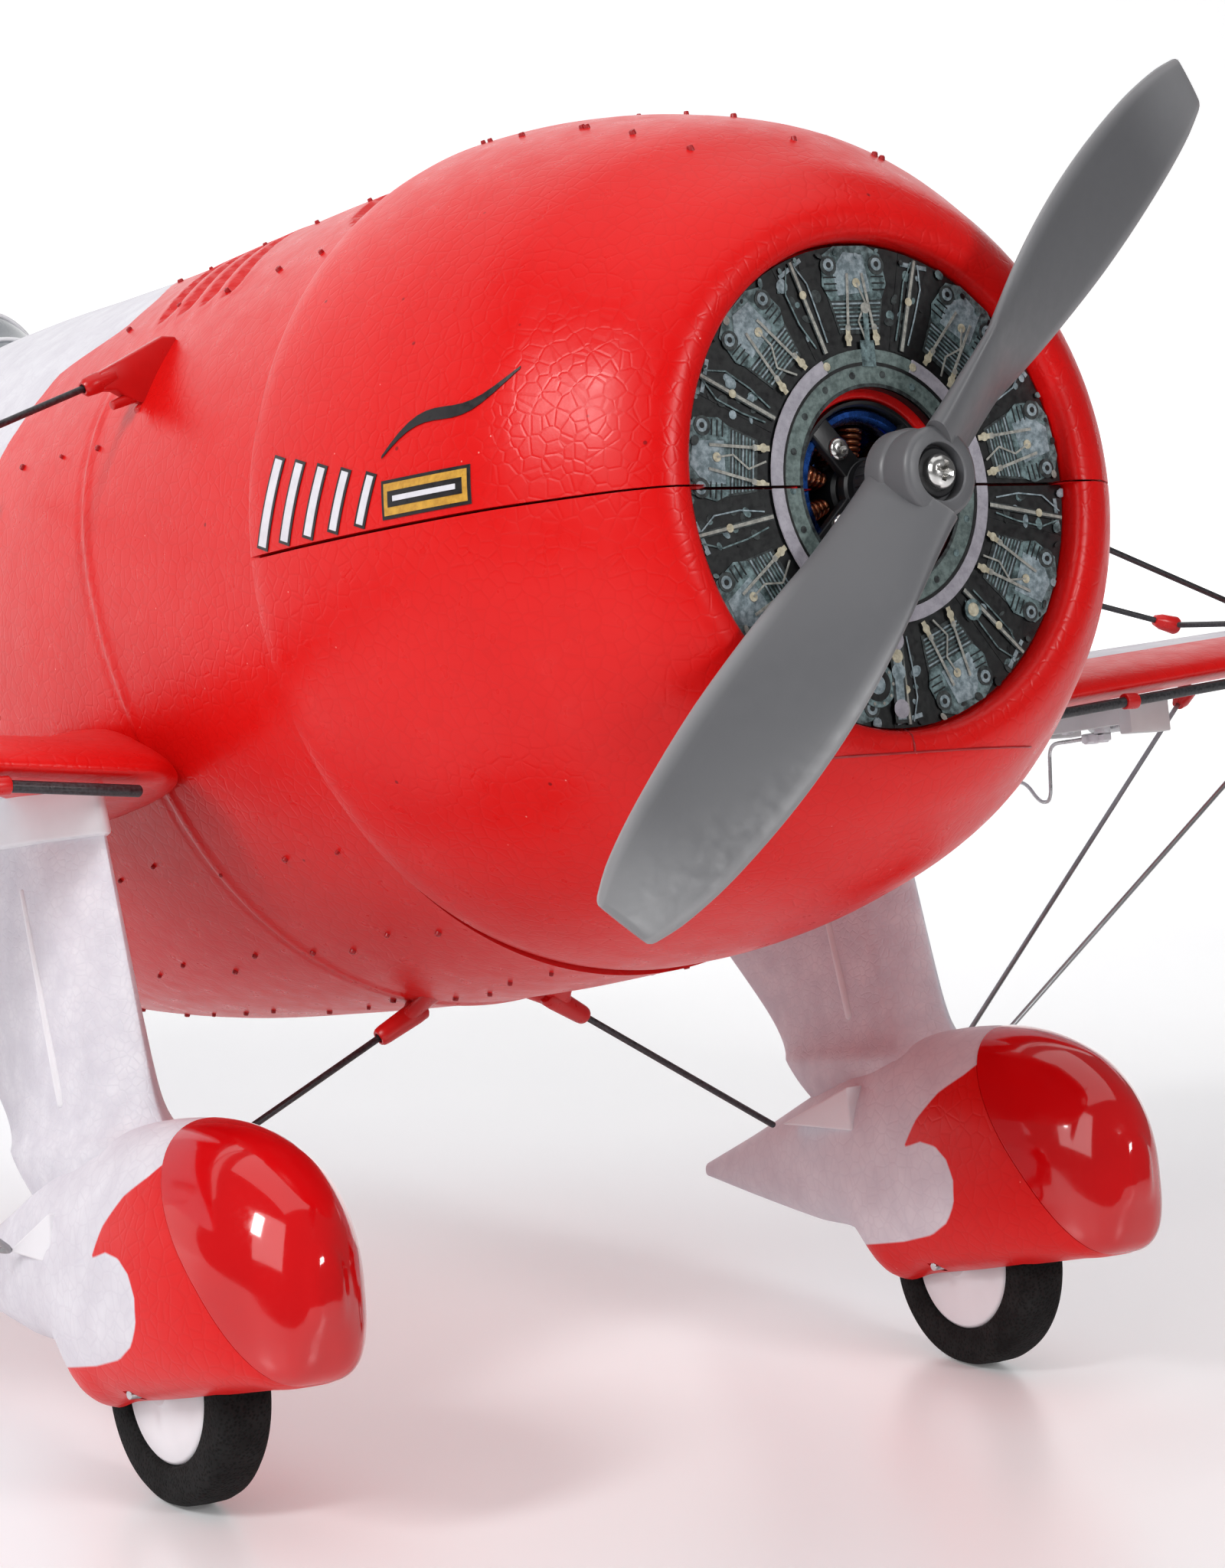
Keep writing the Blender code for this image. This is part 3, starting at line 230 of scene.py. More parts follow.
def propeller_plastic():
    """Grey nylon-like plastic; where the blade is thin the colour is lighter, a painted glow of light let
    through the thin edges and tips.
    """
    s = Shader("propeller_grey", (0.215, 0.22, 0.23), 0.4, Subsurface_Weight=0.25, Subsurface_Scale=0.002,
               Subsurface_Radius=(1.0, 0.9, 0.85))
    core, edge = (0.125, 0.126, 0.134), (0.27, 0.272, 0.282)
    thin = s.ramp(s.attribute("thin"), 0.0, 1.0)
    # painted light: the thin edges and tips get a lighter colour, as if lit through
    tone = s.mix(thin, core, edge)
    flow = s.ramp(s.noise(5.0, 4.0), 0.35, 0.7, 0.94, 1.0)
    tone = s.mix(flow, (0.105, 0.107, 0.112), tone)
    rough = s.ramp(s.noise(1.6, 3.0), 0.3, 0.7, 0.36, 0.46)
    return s.finish(tone, rough, s.bump(s.noise(0.3, 2.0), 0.01, 0.45))


def metal(name, colour, roughness, grain_mm=0.25, depth_mm=0.006, anisotropic=0.0):
    s = Shader(name, colour, roughness, 1.0, Anisotropic=anisotropic)
    dark = tuple(c * 0.82 for c in colour)
    tone = s.mix(s.ramp(s.noise(2.2, 3.0), 0.35, 0.7), dark, colour)
    rough = s.ramp(s.noise(0.9, 3.0), 0.3, 0.7, roughness - 0.05, roughness + 0.08)
    return s.finish(tone, rough, s.bump(s.noise(grain_mm, 2.0), depth_mm, 0.5))


def carbon_rod():
    """Pultruded carbon: near black, with fine streaks and a dull sheen."""
    s = Shader("carbon_rod", (0.02, 0.02, 0.022), 0.38)
    streak = s.ramp(s.noise(0.35, 3.0), 0.35, 0.7)
    return s.finish(s.mix(streak, (0.012, 0.012, 0.014), (0.05, 0.05, 0.056)),
                    s.ramp(streak, 0, 1, 0.3, 0.5), s.bump(streak, 0.02, 0.6))


def foam_rubber():
    """Black cellular rubber with a fine open-pored skin; the pores carry painted shade."""
    s = Shader("foam_rubber", (0.012, 0.012, 0.012), 0.86, Specular_IOR_Level=0.22)
    pores = s.ramp(s.voronoi(0.42), 0.1, 0.6)
    tone = s.mix(s.ramp(s.noise(3.0, 4.0), 0.3, 0.75), (0.006, 0.006, 0.006), (0.018, 0.018, 0.018))
    # painted shade: the pores are darkened, as shade in the pits
    return s.finish(s.mix(pores, (0.004, 0.004, 0.004), tone), s.ramp(pores, 0, 1, 0.95, 0.84),
                    s.bump(pores, 0.06, 0.85))


def printed(name, colour, dark, mottle_mm=1.1, roughness=0.38):
    """Printed card under a film: mottled ink, slightly glossy."""
    s = Shader(name, colour, roughness)
    patch = s.ramp(s.noise(mottle_mm, 4.0, 0.65), 0.38, 0.64)
    tone = s.mix(patch, dark, colour)
    return s.finish(tone, s.ramp(s.noise(0.7, 2.0), 0.3, 0.7, roughness - 0.08, roughness + 0.08),
                    s.bump(s.noise(0.25, 2.0), 0.006, 0.4))


def wood():
    s = Shader("plywood", (0.55, 0.38, 0.22), 0.7)
    node = s.tree.nodes.new("ShaderNodeTexWave")
    s.set(node, "Vector", s.position())
    node.inputs["Scale"].default_value = 160.0
    node.inputs["Distortion"].default_value = 6.0
    node.inputs["Detail"].default_value = 3.0
    grain = node.outputs["Fac"]
    return s.finish(s.mix(grain, (0.44, 0.29, 0.16), (0.62, 0.45, 0.27)), s.ramp(grain, 0, 1, 0.6, 0.78),
                    s.bump(grain, 0.05, 0.5))


M = {
    "red_foam": painted_foam("red_and_white_foam"),
    "wing_foam": painted_foam("wing_paint", 2.0, 0.045, 0.31),
    "pant_foam": painted_foam("pant_paint", 1.9, 0.045, 0.33),
    "white_foam": white_foam("white_leg_foam"),
    "tail_foam": white_foam("white_tail_foam", 1.8, 0.06),
    "red_gloss": gloss_plastic("red_gloss_shell", (0.66, 0.003, 0.005), (0.58, 0.002, 0.004)),
    "red_moulded": satin_plastic("red_moulded", (0.60, 0.010, 0.010), 0.3),
    "dark_nub": satin_plastic("red_mould_nub", (0.38, 0.006, 0.009), 0.35),
    "propeller": propeller_plastic(),
    "white_plastic": satin_plastic("white_moulded", (0.84, 0.83, 0.86), 0.34, drift=0.04),
    "servo_white": satin_plastic("servo_white", (0.62, 0.61, 0.61), 0.45, drift=0.1),
    "black_plastic": satin_plastic("black_moulded", (0.016, 0.016, 0.018), 0.36),
    "canopy": gloss_plastic("smoked_canopy", (0.14, 0.16, 0.18), (0.10, 0.12, 0.14), 0.06),
    "tyre": foam_rubber(),
    "steel": metal("bright_steel", (0.66, 0.66, 0.67), 0.26),
    "wire": metal("drawn_wire", (0.40, 0.40, 0.41), 0.34),
    "screw": metal("nickel_screw", (0.80, 0.79, 0.77), 0.2),
    "blue_metal": metal("blue_anodised", (0.035, 0.13, 0.52), 0.24, anisotropic=0.4),
    "copper": metal("copper_winding", (0.72, 0.27, 0.13), 0.3),
    "carbon": carbon_rod(),
    "battery": gloss_plastic("battery_wrap", (0.03, 0.05, 0.13), (0.02, 0.03, 0.09), 0.3),
    "circuit": printed("circuit_board", (0.02, 0.20, 0.08), (0.01, 0.10, 0.05), 1.4, 0.4),
    "plywood": wood(),
    "print_black": printed("print_black", (0.010, 0.012, 0.012), (0.002, 0.002, 0.003)),
    "print_shadow": printed("print_shadow", (0.055, 0.070, 0.070), (0.008, 0.010, 0.011), 0.8),
    "print_teal": printed("print_teal", (0.20, 0.29, 0.30), (0.03, 0.052, 0.055), 0.9),
    "print_light": printed("print_light", (0.36, 0.44, 0.48), (0.13, 0.18, 0.20), 0.8),
    "print_green": printed("print_green_grey", (0.17, 0.225, 0.215), (0.075, 0.105, 0.10), 0.8),
    "print_rod": printed("print_rod", (0.42, 0.42, 0.38), (0.22, 0.22, 0.20), 0.6),
    "print_cream": printed("print_cream", (0.62, 0.58, 0.44), (0.38, 0.34, 0.24), 0.6),
    "print_ring": printed("print_ring", (0.43, 0.41, 0.46), (0.33, 0.315, 0.36), 1.6, 0.3),
    "print_line": printed("print_line", (0.008, 0.009, 0.010), (0.003, 0.003, 0.003)),
    "decal_white": printed("decal_white", (0.78, 0.77, 0.82), (0.70, 0.69, 0.74), 2.0, 0.35),
    "decal_black": printed("decal_black", (0.014, 0.012, 0.014), (0.008, 0.007, 0.008), 2.0, 0.35),
    "decal_gold": printed("decal_gold", (0.70, 0.38, 0.05), (0.52, 0.26, 0.03), 1.0, 0.35),
}


# ---------------------------------------------------------------- mesh helpers

def piece(name, bm_or_mesh, body, mats, replaces=(), smooth=38.0):
    """Finishes one visible piece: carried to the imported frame, shaded and riding its body."""
    if isinstance(bm_or_mesh, bmesh.types.BMesh):
        mesh = bpy.data.meshes.new(name)
        bm_or_mesh.to_mesh(mesh)
        bm_or_mesh.free()
    else:
        mesh = bm_or_mesh
    mesh.transform(AIRCRAFT)
    obj = bpy.data.objects.new(name, mesh)
    bpy.context.scene.collection.objects.link(obj)
    for mat in mats if isinstance(mats, (list, tuple)) else [mats]:
        mesh.materials.append(M[mat])
    mesh.shade_smooth()
    mesh.set_sharp_from_angle(angle=math.radians(smooth))
    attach(obj, body)
    if replaces:
        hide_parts(*replaces)
    return obj


def grid_loft(rings, cap_start=True, cap_end=True, bm=None, closed=True):
    """A skin through rings of points in mm."""
    bm = bm or bmesh.new()
    rows = [[bm.verts.new(p) for p in ring] for ring in rings]
    count = len(rows[0])
    for a, b in zip(rows, rows[1:]):
        for i in range(count if closed else count - 1):
            j = (i + 1) % count
            bm.faces.new((a[i], a[j], b[j], b[i]))
    if cap_start:
        bm.faces.new(list(reversed(rows[0])))
    if cap_end:
        bm.faces.new(rows[-1])
    bmesh.ops.recalc_face_normals(bm, faces=bm.faces)
    return bm


def cylinder_bm(start, end, radius, end_radius=None, sides=32, bm=None, bevel=0.0):
    """A turned peg between two points in mm, its rims rounded by bevel."""
    start, end = Vector(start), Vector(end)
    along = (end - start).normalized()
    length = (end - start).length
    end_radius = radius if end_radius is None else end_radius
    bevel = min(bevel, radius * 0.9, end_radius * 0.9, length * 0.45)
    profile = [(0.0, 0.0)]
    if bevel > 0:
        profile += [(radius - bevel * (1 - math.sin(a)), bevel * (1 - math.cos(a)))
                    for a in (0.0, math.pi / 6, math.pi / 3, math.pi / 2)]
        profile += [(end_radius - bevel * (1 - math.cos(a)), length - bevel * (1 - math.sin(a)))
                    for a in (0.0, math.pi / 6, math.pi / 3, math.pi / 2)]
    else:
        profile += [(radius, 0.0), (end_radius, length)]
    profile.append((0.0, length))
    return revolve_bm(profile, start, along, sides, bm)


def revolve_bm(profile, origin, axis, sides=48, bm=None, closed=False):
    """A (radius, along) outline turned about an axis; closed joins its last point to its first."""
    bm = bm or bmesh.new()
    axis = Vector(axis).normalized()
    across = axis.orthogonal().normalized()
    up = axis.cross(across)
    origin = Vector(origin)
    rings = []
    for radius, along in profile:
        if radius < 1e-6:
            rings.append([bm.verts.new(origin + axis * along)])
            continue
        ring = []
        for k in range(sides):
            turn = 2 * math.pi * k / sides
            ring.append(bm.verts.new(origin + axis * along
                                     + (across * math.cos(turn) + up * math.sin(turn)) * radius))
        rings.append(ring)
    pairs = list(zip(rings, rings[1:]))
    if closed:
        pairs.append((rings[-1], rings[0]))
    faces = []
    for a, b in pairs:
        for k in range(sides):
            j = (k + 1) % sides
            corners = [a[k % len(a)], a[j % len(a)], b[j % len(b)], b[k % len(b)]]
            unique = list(dict.fromkeys(corners))
            if len(unique) > 2:
                faces.append(bm.faces.new(unique))
    bmesh.ops.recalc_face_normals(bm, faces=faces)
    return bm


def tube_bm(points, radius, sides=16, bm=None, taper=None):
    """A round wire through points in mm, with domed ends."""
    bm = bm or bmesh.new()
    points = [Vector(p) for p in points]
    tangent = (points[1] - points[0]).normalized()
    normal = tangent.orthogonal().normalized()
    rings = []
    for i, p in enumerate(points):
        before = points[max(i - 1, 0)]
        after = points[min(i + 1, len(points) - 1)]
        fresh = (after - before).normalized()
        normal = (normal - fresh * normal.dot(fresh)).normalized()
        side = fresh.cross(normal)
        size = radius if taper is None else radius * taper(i / (len(points) - 1))
        shrinks = [(0.0, size)]
        if i == 0:
            shrinks = [(-size * 0.5, size * 0.55), (-size * 0.25, size * 0.87), (0.0, size)]
        if i == len(points) - 1:
            shrinks = [(0.0, size), (size * 0.25, size * 0.87), (size * 0.5, size * 0.55)]
        for shift, r in shrinks:
            rings.append([p + fresh * shift + (normal * math.cos(2 * math.pi * k / sides)
                                               + side * math.sin(2 * math.pi * k / sides)) * r
                          for k in range(sides)])
    return grid_loft(rings, bm=bm)


def rounded_path(points, radius=2.0, steps=6):
    points = [Vector(p) for p in points]
    path = [points[0]]
    for before, corner, after in zip(points, points[1:], points[2:]):
        start = corner + (before - corner).normalized() * min(radius, (before - corner).length * 0.45)
        end = corner + (after - corner).normalized() * min(radius, (after - corner).length * 0.45)
        for k in range(steps + 1):
            t = k / steps
            path.append(start * (1 - t) ** 2 + corner * 2 * t * (1 - t) + end * t ** 2)
    path.append(points[-1])
    return path


def box_bm(low, high, bevel=0.3, bm=None, segments=3):
    """A block in mm with rounded edges."""
    own = bmesh.new()
    bmesh.ops.create_cube(own, size=1.0)
    low, high = Vector(low), Vector(high)
    bmesh.ops.scale(own, vec=high - low, verts=own.verts)
    bmesh.ops.translate(own, vec=(low + high) / 2, verts=own.verts)
    if bevel:
        bmesh.ops.bevel(own, geom=own.edges[:], offset=bevel, segments=segments, affect="EDGES", profile=0.5)
    if bm is None:
        return own
    mesh = bpy.data.meshes.new("block")
    own.to_mesh(mesh)
    own.free()
    bm.from_mesh(mesh)
    bpy.data.meshes.remove(mesh)
    return bm


def bake(bm, *modifiers):
    """The mesh after modifiers, each given as (type, settings); everything in mm."""
    mesh = bpy.data.meshes.new("scratch")
    bm.to_mesh(mesh)
    bm.free()
    obj = bpy.data.objects.new("scratch", mesh)
    bpy.context.scene.collection.objects.link(obj)
    for kind, settings in modifiers:
        modifier = obj.modifiers.new(kind.lower(), kind)
        for key, value in settings.items():
            setattr(modifier, key, value)
    graph = bpy.context.evaluated_depsgraph_get()
    made = bpy.data.meshes.new_from_object(obj.evaluated_get(graph))
    bpy.data.objects.remove(obj)
    return made


def boolean(mesh_or_bm, *steps):
    """Cuts, joins or keeps with other meshes, given as (operation, bmesh)."""
    if not isinstance(mesh_or_bm, bmesh.types.BMesh):
        bm = bmesh.new()
        bm.from_mesh(mesh_or_bm)
    else:
        bm = mesh_or_bm
    tools, modifiers = [], []
    for operation, other in steps:
        mesh = bpy.data.meshes.new("tool")
        other.to_mesh(mesh)
        other.free()
        tool = bpy.data.objects.new("tool", mesh)
        bpy.context.scene.collection.objects.link(tool)
        tools.append(tool)
        modifiers.append(("BOOLEAN", {"operation": operation, "object": tool, "solver": "EXACT"}))
    made = bake(bm, *modifiers)
    for tool in tools:
        bpy.data.objects.remove(tool)
    return made


def smooth_table(stations, y):
    """Values at y from a table of (y, values...), by a smooth curve through its rows."""
    if y <= stations[0][0]:
        return stations[0][1:]
    for i in range(len(stations) - 1):
        y0, y1 = stations[i][0], stations[i + 1][0]
        if y <= y1:
            break
    before = stations[max(i - 1, 0)]
    after = stations[min(i + 2, len(stations) - 1)]
    t = min((y - y0) / (y1 - y0), 1.0)
    values = []
    for a, p, q, b in zip(before[1:], stations[i][1:], stations[i + 1][1:], after[1:]):
        m0 = (q - a) / (y1 - before[0]) * (y1 - y0)
        m1 = (b - p) / (after[0] - y0) * (y1 - y0)
        values.append((2 * t ** 3 - 3 * t ** 2 + 1) * p + (t ** 3 - 2 * t ** 2 + t) * m0
                      + (3 * t ** 2 - 2 * t ** 3) * q + (t ** 3 - t ** 2) * m1)
    return tuple(values)


def step(low, high, value):
    t = min(max((value - low) / (high - low), 0.0), 1.0)
    return t * t * (3 - 2 * t)


def spaced(low, high, step_size):
    count = max(1, round(abs(high - low) / step_size))
    return [low + (high - low) * k / count for k in range(count + 1)]


# ---------------------------------------------------------------- fuselage skin

def body_size(y):
    """(half width, top, bottom) of the fuselage at y."""
    if y <= COWL_BACK:
        r = smooth_table(COWL_PROFILE, y)[0]
        return r, r, -r
    return smooth_table(BODY_STATIONS, max(y, BODY_STATIONS[0][0]))


def skin_point(y, turn, lift=0.0):
    """A point on the fuselage skin at y and an angle from +X towards +Z, raised by lift."""
    w, top, bottom = body_size(y)
    c, s = math.cos(turn), math.sin(turn)
    w, top, bottom = w + lift, top + lift, bottom - lift
    return Vector((w * c, y, (top if s >= 0 else -bottom) * s))


def segment_distance(p, a, b):
    """Distance in the plane from p to the segment a-b, and the share along it."""
    ax, ay = a
    bx, by = b
    dx, dy = bx - ax, by - ay
    t = ((p[0] - ax) * dx + (p[1] - ay) * dy) / (dx * dx + dy * dy)
    t = min(max(t, 0.0), 1.0)
    return math.hypot(p[0] - ax - t * dx, p[1] - ay - t * dy), t


def relief(y, turn):
    """Height in mm added to the skin: panel grooves, louvres, the side ridge and the tongue arc."""
    total = 0.0
    arc = 50.0
    degrees = math.degrees(turn)
    mirrored = degrees
    if abs(degrees) <= 90:
        mirrored = math.copysign(180, degrees) - degrees
    if y > COWL_BACK:
        # slanted cooling louvres on both shoulders
        for start in range(4):
            y0, a0 = 88.5 + start * 5.6, 131.5
            y1, a1 = y0 + 6.5, 114.5
            d, _ = segment_distance((y, math.radians(mirrored) * arc),
                                    (y0, math.radians(a0) * arc), (y1, math.radians(a1) * arc))
            total -= 0.75 * (1 - step(0.5, 1.5, d))
            total += 0.16 * (1 - step(0.6, 2.0, abs(d - 2.2))) * (1 - step(2.0, 4.2, d))
        # the arc behind the cowl where the cover's tongue goes in
        reach = math.hypot(y - 60.0, (math.radians(degrees) - math.pi / 2) * arc * 0.62)
        if 20 < degrees < 160:
            total -= 0.7 * (1 - step(0.45, 1.1, abs(reach - 19.0)))
        # raised bead that runs down the side from the shoulder lug to the belly
        above = 180 - abs(mirrored)
        if mirrored <= 0:
            above = -above
        ridge_y = 107.0 - 10.5 * step(35, -30, above)
        strength = step(141, 150, mirrored) if mirrored > 0 else 1 - step(18, 42, 180 - abs(mirrored))
        total += 0.30 * strength * (1 - step(0.3, 1.1, abs(y - ridge_y)))
        total -= 0.18 * strength * (1 - step(0.3, 0.9, abs(y - ridge_y - 1.5)))
        # belly hatch outline
        if mirrored < 0:
            below = 180 - abs(mirrored)
            line_y = 67.0 + 0.012 * (below - 38) ** 2
            total -= 0.22 * (1 - step(0.2, 0.6, abs(y - line_y))) * step(26, 32, below)
    return total


def skin_rows(y_values, turns, with_relief=True):
    rows = []
    for y in y_values:
        rows.append([skin_point(y, t, relief(y, t) if with_relief else 0.0) for t in turns])
    return rows


def lip_rows(turns, back_y=BULKHEAD_FRONT):
    """The rounded lip of the cowl and the wall of its opening, from the back of the pocket outwards."""
    profile = [(MOTOR_HOLE_RADIUS, BULKHEAD_BACK), (MOTOR_HOLE_RADIUS, back_y + 0.3),
               (MOTOR_HOLE_RADIUS + 0.3, back_y), (OPENING_RADIUS - 0.3, back_y),
               (OPENING_RADIUS, back_y - 0.3),
               (OPENING_RADIUS, 8.0), (OPENING_RADIUS + 0.05, 7.0),
               (28.25, 6.3), (28.75, 5.95), (29.5, LIP_Y), (30.4, LIP_Y), (31.1, 5.9)]
    return [[Vector((r * math.cos(t), y, r * math.sin(t))) for t in turns] for r, y in profile]


def paint_values(mesh, rule):
    """Stores the paint mask; rule gets a point in aircraft millimetres."""
    layer = mesh.attributes.new("paint", "FLOAT", "POINT")
    for vertex, item in zip(mesh.vertices, layer.data):
        item.value = rule(vertex.co)


def body_paint(p):
    """Signed distance to the red and white boundary, as a soft 0 to 1 mask."""
    angle = math.degrees(math.atan2(abs(p.z), abs(p.x)))
    if p.z > 0:
        edge = 141.0 - 9.0 * step(20, 50, angle) - 12.0 * step(44, 52, angle) * (1 - step(56, 75, angle))
        edge -= 6.0 * step(70, 90, angle)
    else:
        edge = 141.0 + 44.0 * step(0, 50, angle)
    return min(max(0.5 + (edge - p.y) / 3.0, 0.0), 1.0)


COWL_YS = [6.4, 7.0, 8.0, 9.2, 10.6, 12.2, 14.0] + spaced(16, 60.0, 1.6) + [COWL_BACK - 0.25]


def hatch_edge(rows, y_back, depth=3.2):
    """Rounds the cowl's rear edge and turns it inwards."""
    last = rows[-1]
    centre = Vector((0, y_back, 0))
    extra = []
    for inset, shift in ((0.12, 0.2), (0.4, 0.32), (depth, 0.32)):
        ring = []
        for p in last:
            flat = Vector((p.x, 0, p.z))
            ring.append(centre + flat * (1 - inset / flat.length) + Vector((0, shift, 0)))
        extra.append(ring)
    return rows + extra


def make_body():
    # upper cowl: the hatch
    gap = SEAM / 2 / 45.0
    turns = [gap + (math.pi - 2 * gap) * k / 120 for k in range(121)]
    rows = lip_rows(turns) + skin_rows(COWL_YS, turns, False)
    rows = hatch_edge(rows, COWL_BACK - 0.25)
    rows = [[edge_fold(row[0])] + row + [edge_fold(row[-1])] for row in rows]
    hatch = grid_loft(rows, cap_start=False, cap_end=False, closed=False)
    hatch_mesh = bake(hatch)
    paint_values(hatch_mesh, lambda p: 1.0)
    piece("cowl_top_shell", hatch_mesh, "hatch", ["red_foam"], ["battery_hatch"], 50)

    # lower cowl
    turns = [-gap - (math.pi - 2 * gap) * k / 120 for k in range(121)]
    rows = lip_rows(turns) + skin_rows(COWL_YS, turns, False)
    rows = [[edge_fold(row[0])] + row + [edge_fold(row[-1])] for row in rows]
    lower = grid_loft(rows, cap_start=False, cap_end=False, closed=False)
    lower_mesh = bake(lower)
    paint_values(lower_mesh, lambda p: 1.0)
    piece("cowl_lower_shell", lower_mesh, "airframe", ["red_foam"], (), 50)

    # body behind the cowl
    front_y = BODY_STATIONS[0][0]
    ys = [front_y - 0.35] + spaced(front_y, 122.0, 0.75) + spaced(124.0, BODY_STATIONS[-1][0], 2.6)
    turns = [2 * math.pi * k / 288 for k in range(288)]
    rows = skin_rows(ys, turns)
    front = rows[0]
    inner = []
    for shrink, y in ((12.0, ys[0] + 0.05), (3.2, ys[0])):
        inner.append([Vector((p.x * (1 - shrink / 50), y, p.z * (1 - shrink / 50))) for p in front])
    body = grid_loft(inner + rows, cap_start=False, cap_end=True)
    body_mesh = bake(body)
    paint_values(body_mesh, body_paint)
    piece("fuselage_skin", body_mesh, "airframe", ["red_foam"], ["fuselage_shell"], 50)


def edge_fold(p):
    """The point where a half shell turns inwards at the seam."""
    flat = Vector((p.x, 0, p.z))
    inside = flat * (1 - 2.0 / max(flat.length, 3.0))
    return Vector((inside.x, p.y, p.z))


make_body()


# ---------------------------------------------------------------- dummy radial engine and motor

FACE_Y, FACE_HOLE = 8.3, 11.3
FACE_RADIUS = OPENING_RADIUS - FIT
CYLINDERS = 9
PRINT_MATS = ["print_black", "print_shadow", "print_teal", "print_light", "print_green", "print_rod",
              "print_cream", "print_ring", "print_line"]
BLACK, SHADOW, TEAL, LIGHT, GREEN, ROD, CREAM, RING, LINE = range(9)


def polar(radius, degrees):
    """A point of the printed face: degrees clockwise from the top as seen from the front."""
    turn = math.radians(degrees)
    return radius * math.sin(turn), radius * math.cos(turn)


class Print:
    """Collects thin raised shapes of the printed engine; each is a closed plate a few hundredths high."""

    def __init__(self):
        self.bm = bmesh.new()

    def plate(self, outline, level, ink, thick=0.05):
        clipped = []
        for x, z in outline:
            size = math.hypot(x, z)
            limit = FACE_RADIUS - 0.05
            clipped.append((x * limit / size, z * limit / size) if size > limit else (x, z))
        front = [self.bm.verts.new((x, FACE_Y - level, z)) for x, z in clipped]
        back = [self.bm.verts.new((x, FACE_Y - level + thick, z)) for x, z in clipped]
        faces = [self.bm.faces.new(front), self.bm.faces.new(list(reversed(back)))]
        count = len(front)
        for i in range(count):
            j = (i + 1) % count
            faces.append(self.bm.faces.new((front[i], back[i], back[j], front[j])))
        for face in faces:
            face.material_index = ink

    def ring(self, inner, outer, level, ink, start=0.0, end=360.0, thick=0.05, steps=72):
        count = max(2, round(steps * (end - start) / 360))
        for k in range(count):
            a0, a1 = start + (end - start) * k / count, start + (end - start) * (k + 1) / count
            self.plate([polar(inner, a0), polar(outer, a0), polar(outer, a1), polar(inner, a1)], level, ink,
                       thick)

    def bar(self, a, b, width, level, ink, end_width=None, thick=0.05):
        dx, dz = b[0] - a[0], b[1] - a[1]
        size = math.hypot(dx, dz) or 1.0
        nx, nz = -dz / size * width / 2, dx / size * width / 2
        share = (width if end_width is None else end_width) / width
        self.plate([(a[0] + nx, a[1] + nz), (b[0] + nx * share, b[1] + nz * share),
                    (b[0] - nx * share, b[1] - nz * share), (a[0] - nx, a[1] - nz)], level, ink, thick)

    def path(self, points, width, level, ink):
        for a, b in zip(points, points[1:]):
            self.bar(a, b, width, level, ink)

    def blob(self, centre, radius, level, ink, sides=14, squash=1.0, turn=0.0):
        points = []
        for k in range(sides):
            t = 2 * math.pi * k / sides
            u, v = radius * math.cos(t), radius * squash * math.sin(t)
            points.append((centre[0] + u * math.cos(turn) - v * math.sin(turn),
                           centre[1] + u * math.sin(turn) + v * math.cos(turn)))
        self.plate(points, level, ink)


def local(angle, radius, side):
    """A point at a radius on the spoke at angle, moved sideways (clockwise) in mm."""
    turn = math.radians(angle)
    return radius * math.sin(turn) + side * math.cos(turn), radius * math.cos(turn) - side * math.sin(turn)


def draw_cylinder(art, angle, rnd):
    """One finned cylinder with its head, push rods and plug lead."""
    barrel = [local(angle, 17.4, -2.9), local(angle, 22.0, -4.1), local(angle, 22.0, 4.1),
              local(angle, 17.4, 2.9)]
    art.plate(barrel, 0.10, SHADOW)
    for k in range(9):
        r = 18.0 + k * 0.48
        half = 2.8 + (r - 18) * 0.26
        art.bar(local(angle, r, -half), local(angle, r, half), 0.2, 0.16, TEAL if k % 3 else LIGHT)
    head = [local(angle, 21.4, -3.8), local(angle, 23.0, -4.7), local(angle, 26.4, -4.3),
            local(angle, 27.5, -2.4), local(angle, 27.5, 2.4), local(angle, 26.4, 4.3),
            local(angle, 23.0, 4.7), local(angle, 21.4, 3.8)]
    art.plate(head, 0.18, TEAL)
    art.plate([local(angle, 21.8, -2.6), local(angle, 24.6, -3.0), local(angle, 26.8, -1.1),
               local(angle, 26.4, 1.7), local(angle, 22.2, 2.2)], 0.23, LIGHT)
    for side in (-1, 1):
        art.blob(local(angle, 25.2, side * 3.5), 1.15, 0.27, SHADOW, 16)
        art.blob(local(angle, 25.3, side * 3.5), 0.75, 0.31, LIGHT, 14)
        art.blob(local(angle, 25.3, side * 3.5), 0.34, 0.35, BLACK, 12)
        for k in range(5):
            r = 22.4 + k * 0.75
            art.bar(local(angle, r, side * 2.6), local(angle, r, side * 4.4), 0.16, 0.26, BLACK)
        # push rods and their ferrules
        foot, top = local(angle, 16.0, side * 2.1), local(angle, 24.3, side * (1.2 + rnd.uniform(-0.2, 0.3)))
        art.bar(foot, top, 0.34, 0.42, ROD)
        art.bar(foot, local(angle, 18.0, side * 1.95), 0.62, 0.47, CREAM)
        art.blob(local(angle, 16.9, side * 2.05), 0.52, 0.50, CREAM, 12)
        art.blob(local(angle, 18.1, side * 1.92), 0.38, 0.50, ROD, 10)
    # plug and its lead
    art.blob(local(angle, 23.2, 0.2), 0.55, 0.36, CREAM, 12)
    sway = rnd.uniform(-0.8, 0.8)
    lead = [local(angle, 23.2, 0.2), local(angle, 21.0, 0.9 + sway), local(angle, 18.8, -0.4 + sway),
            local(angle, 16.4, 0.6)]
    art.path(lead, 0.22, 0.40, ROD)


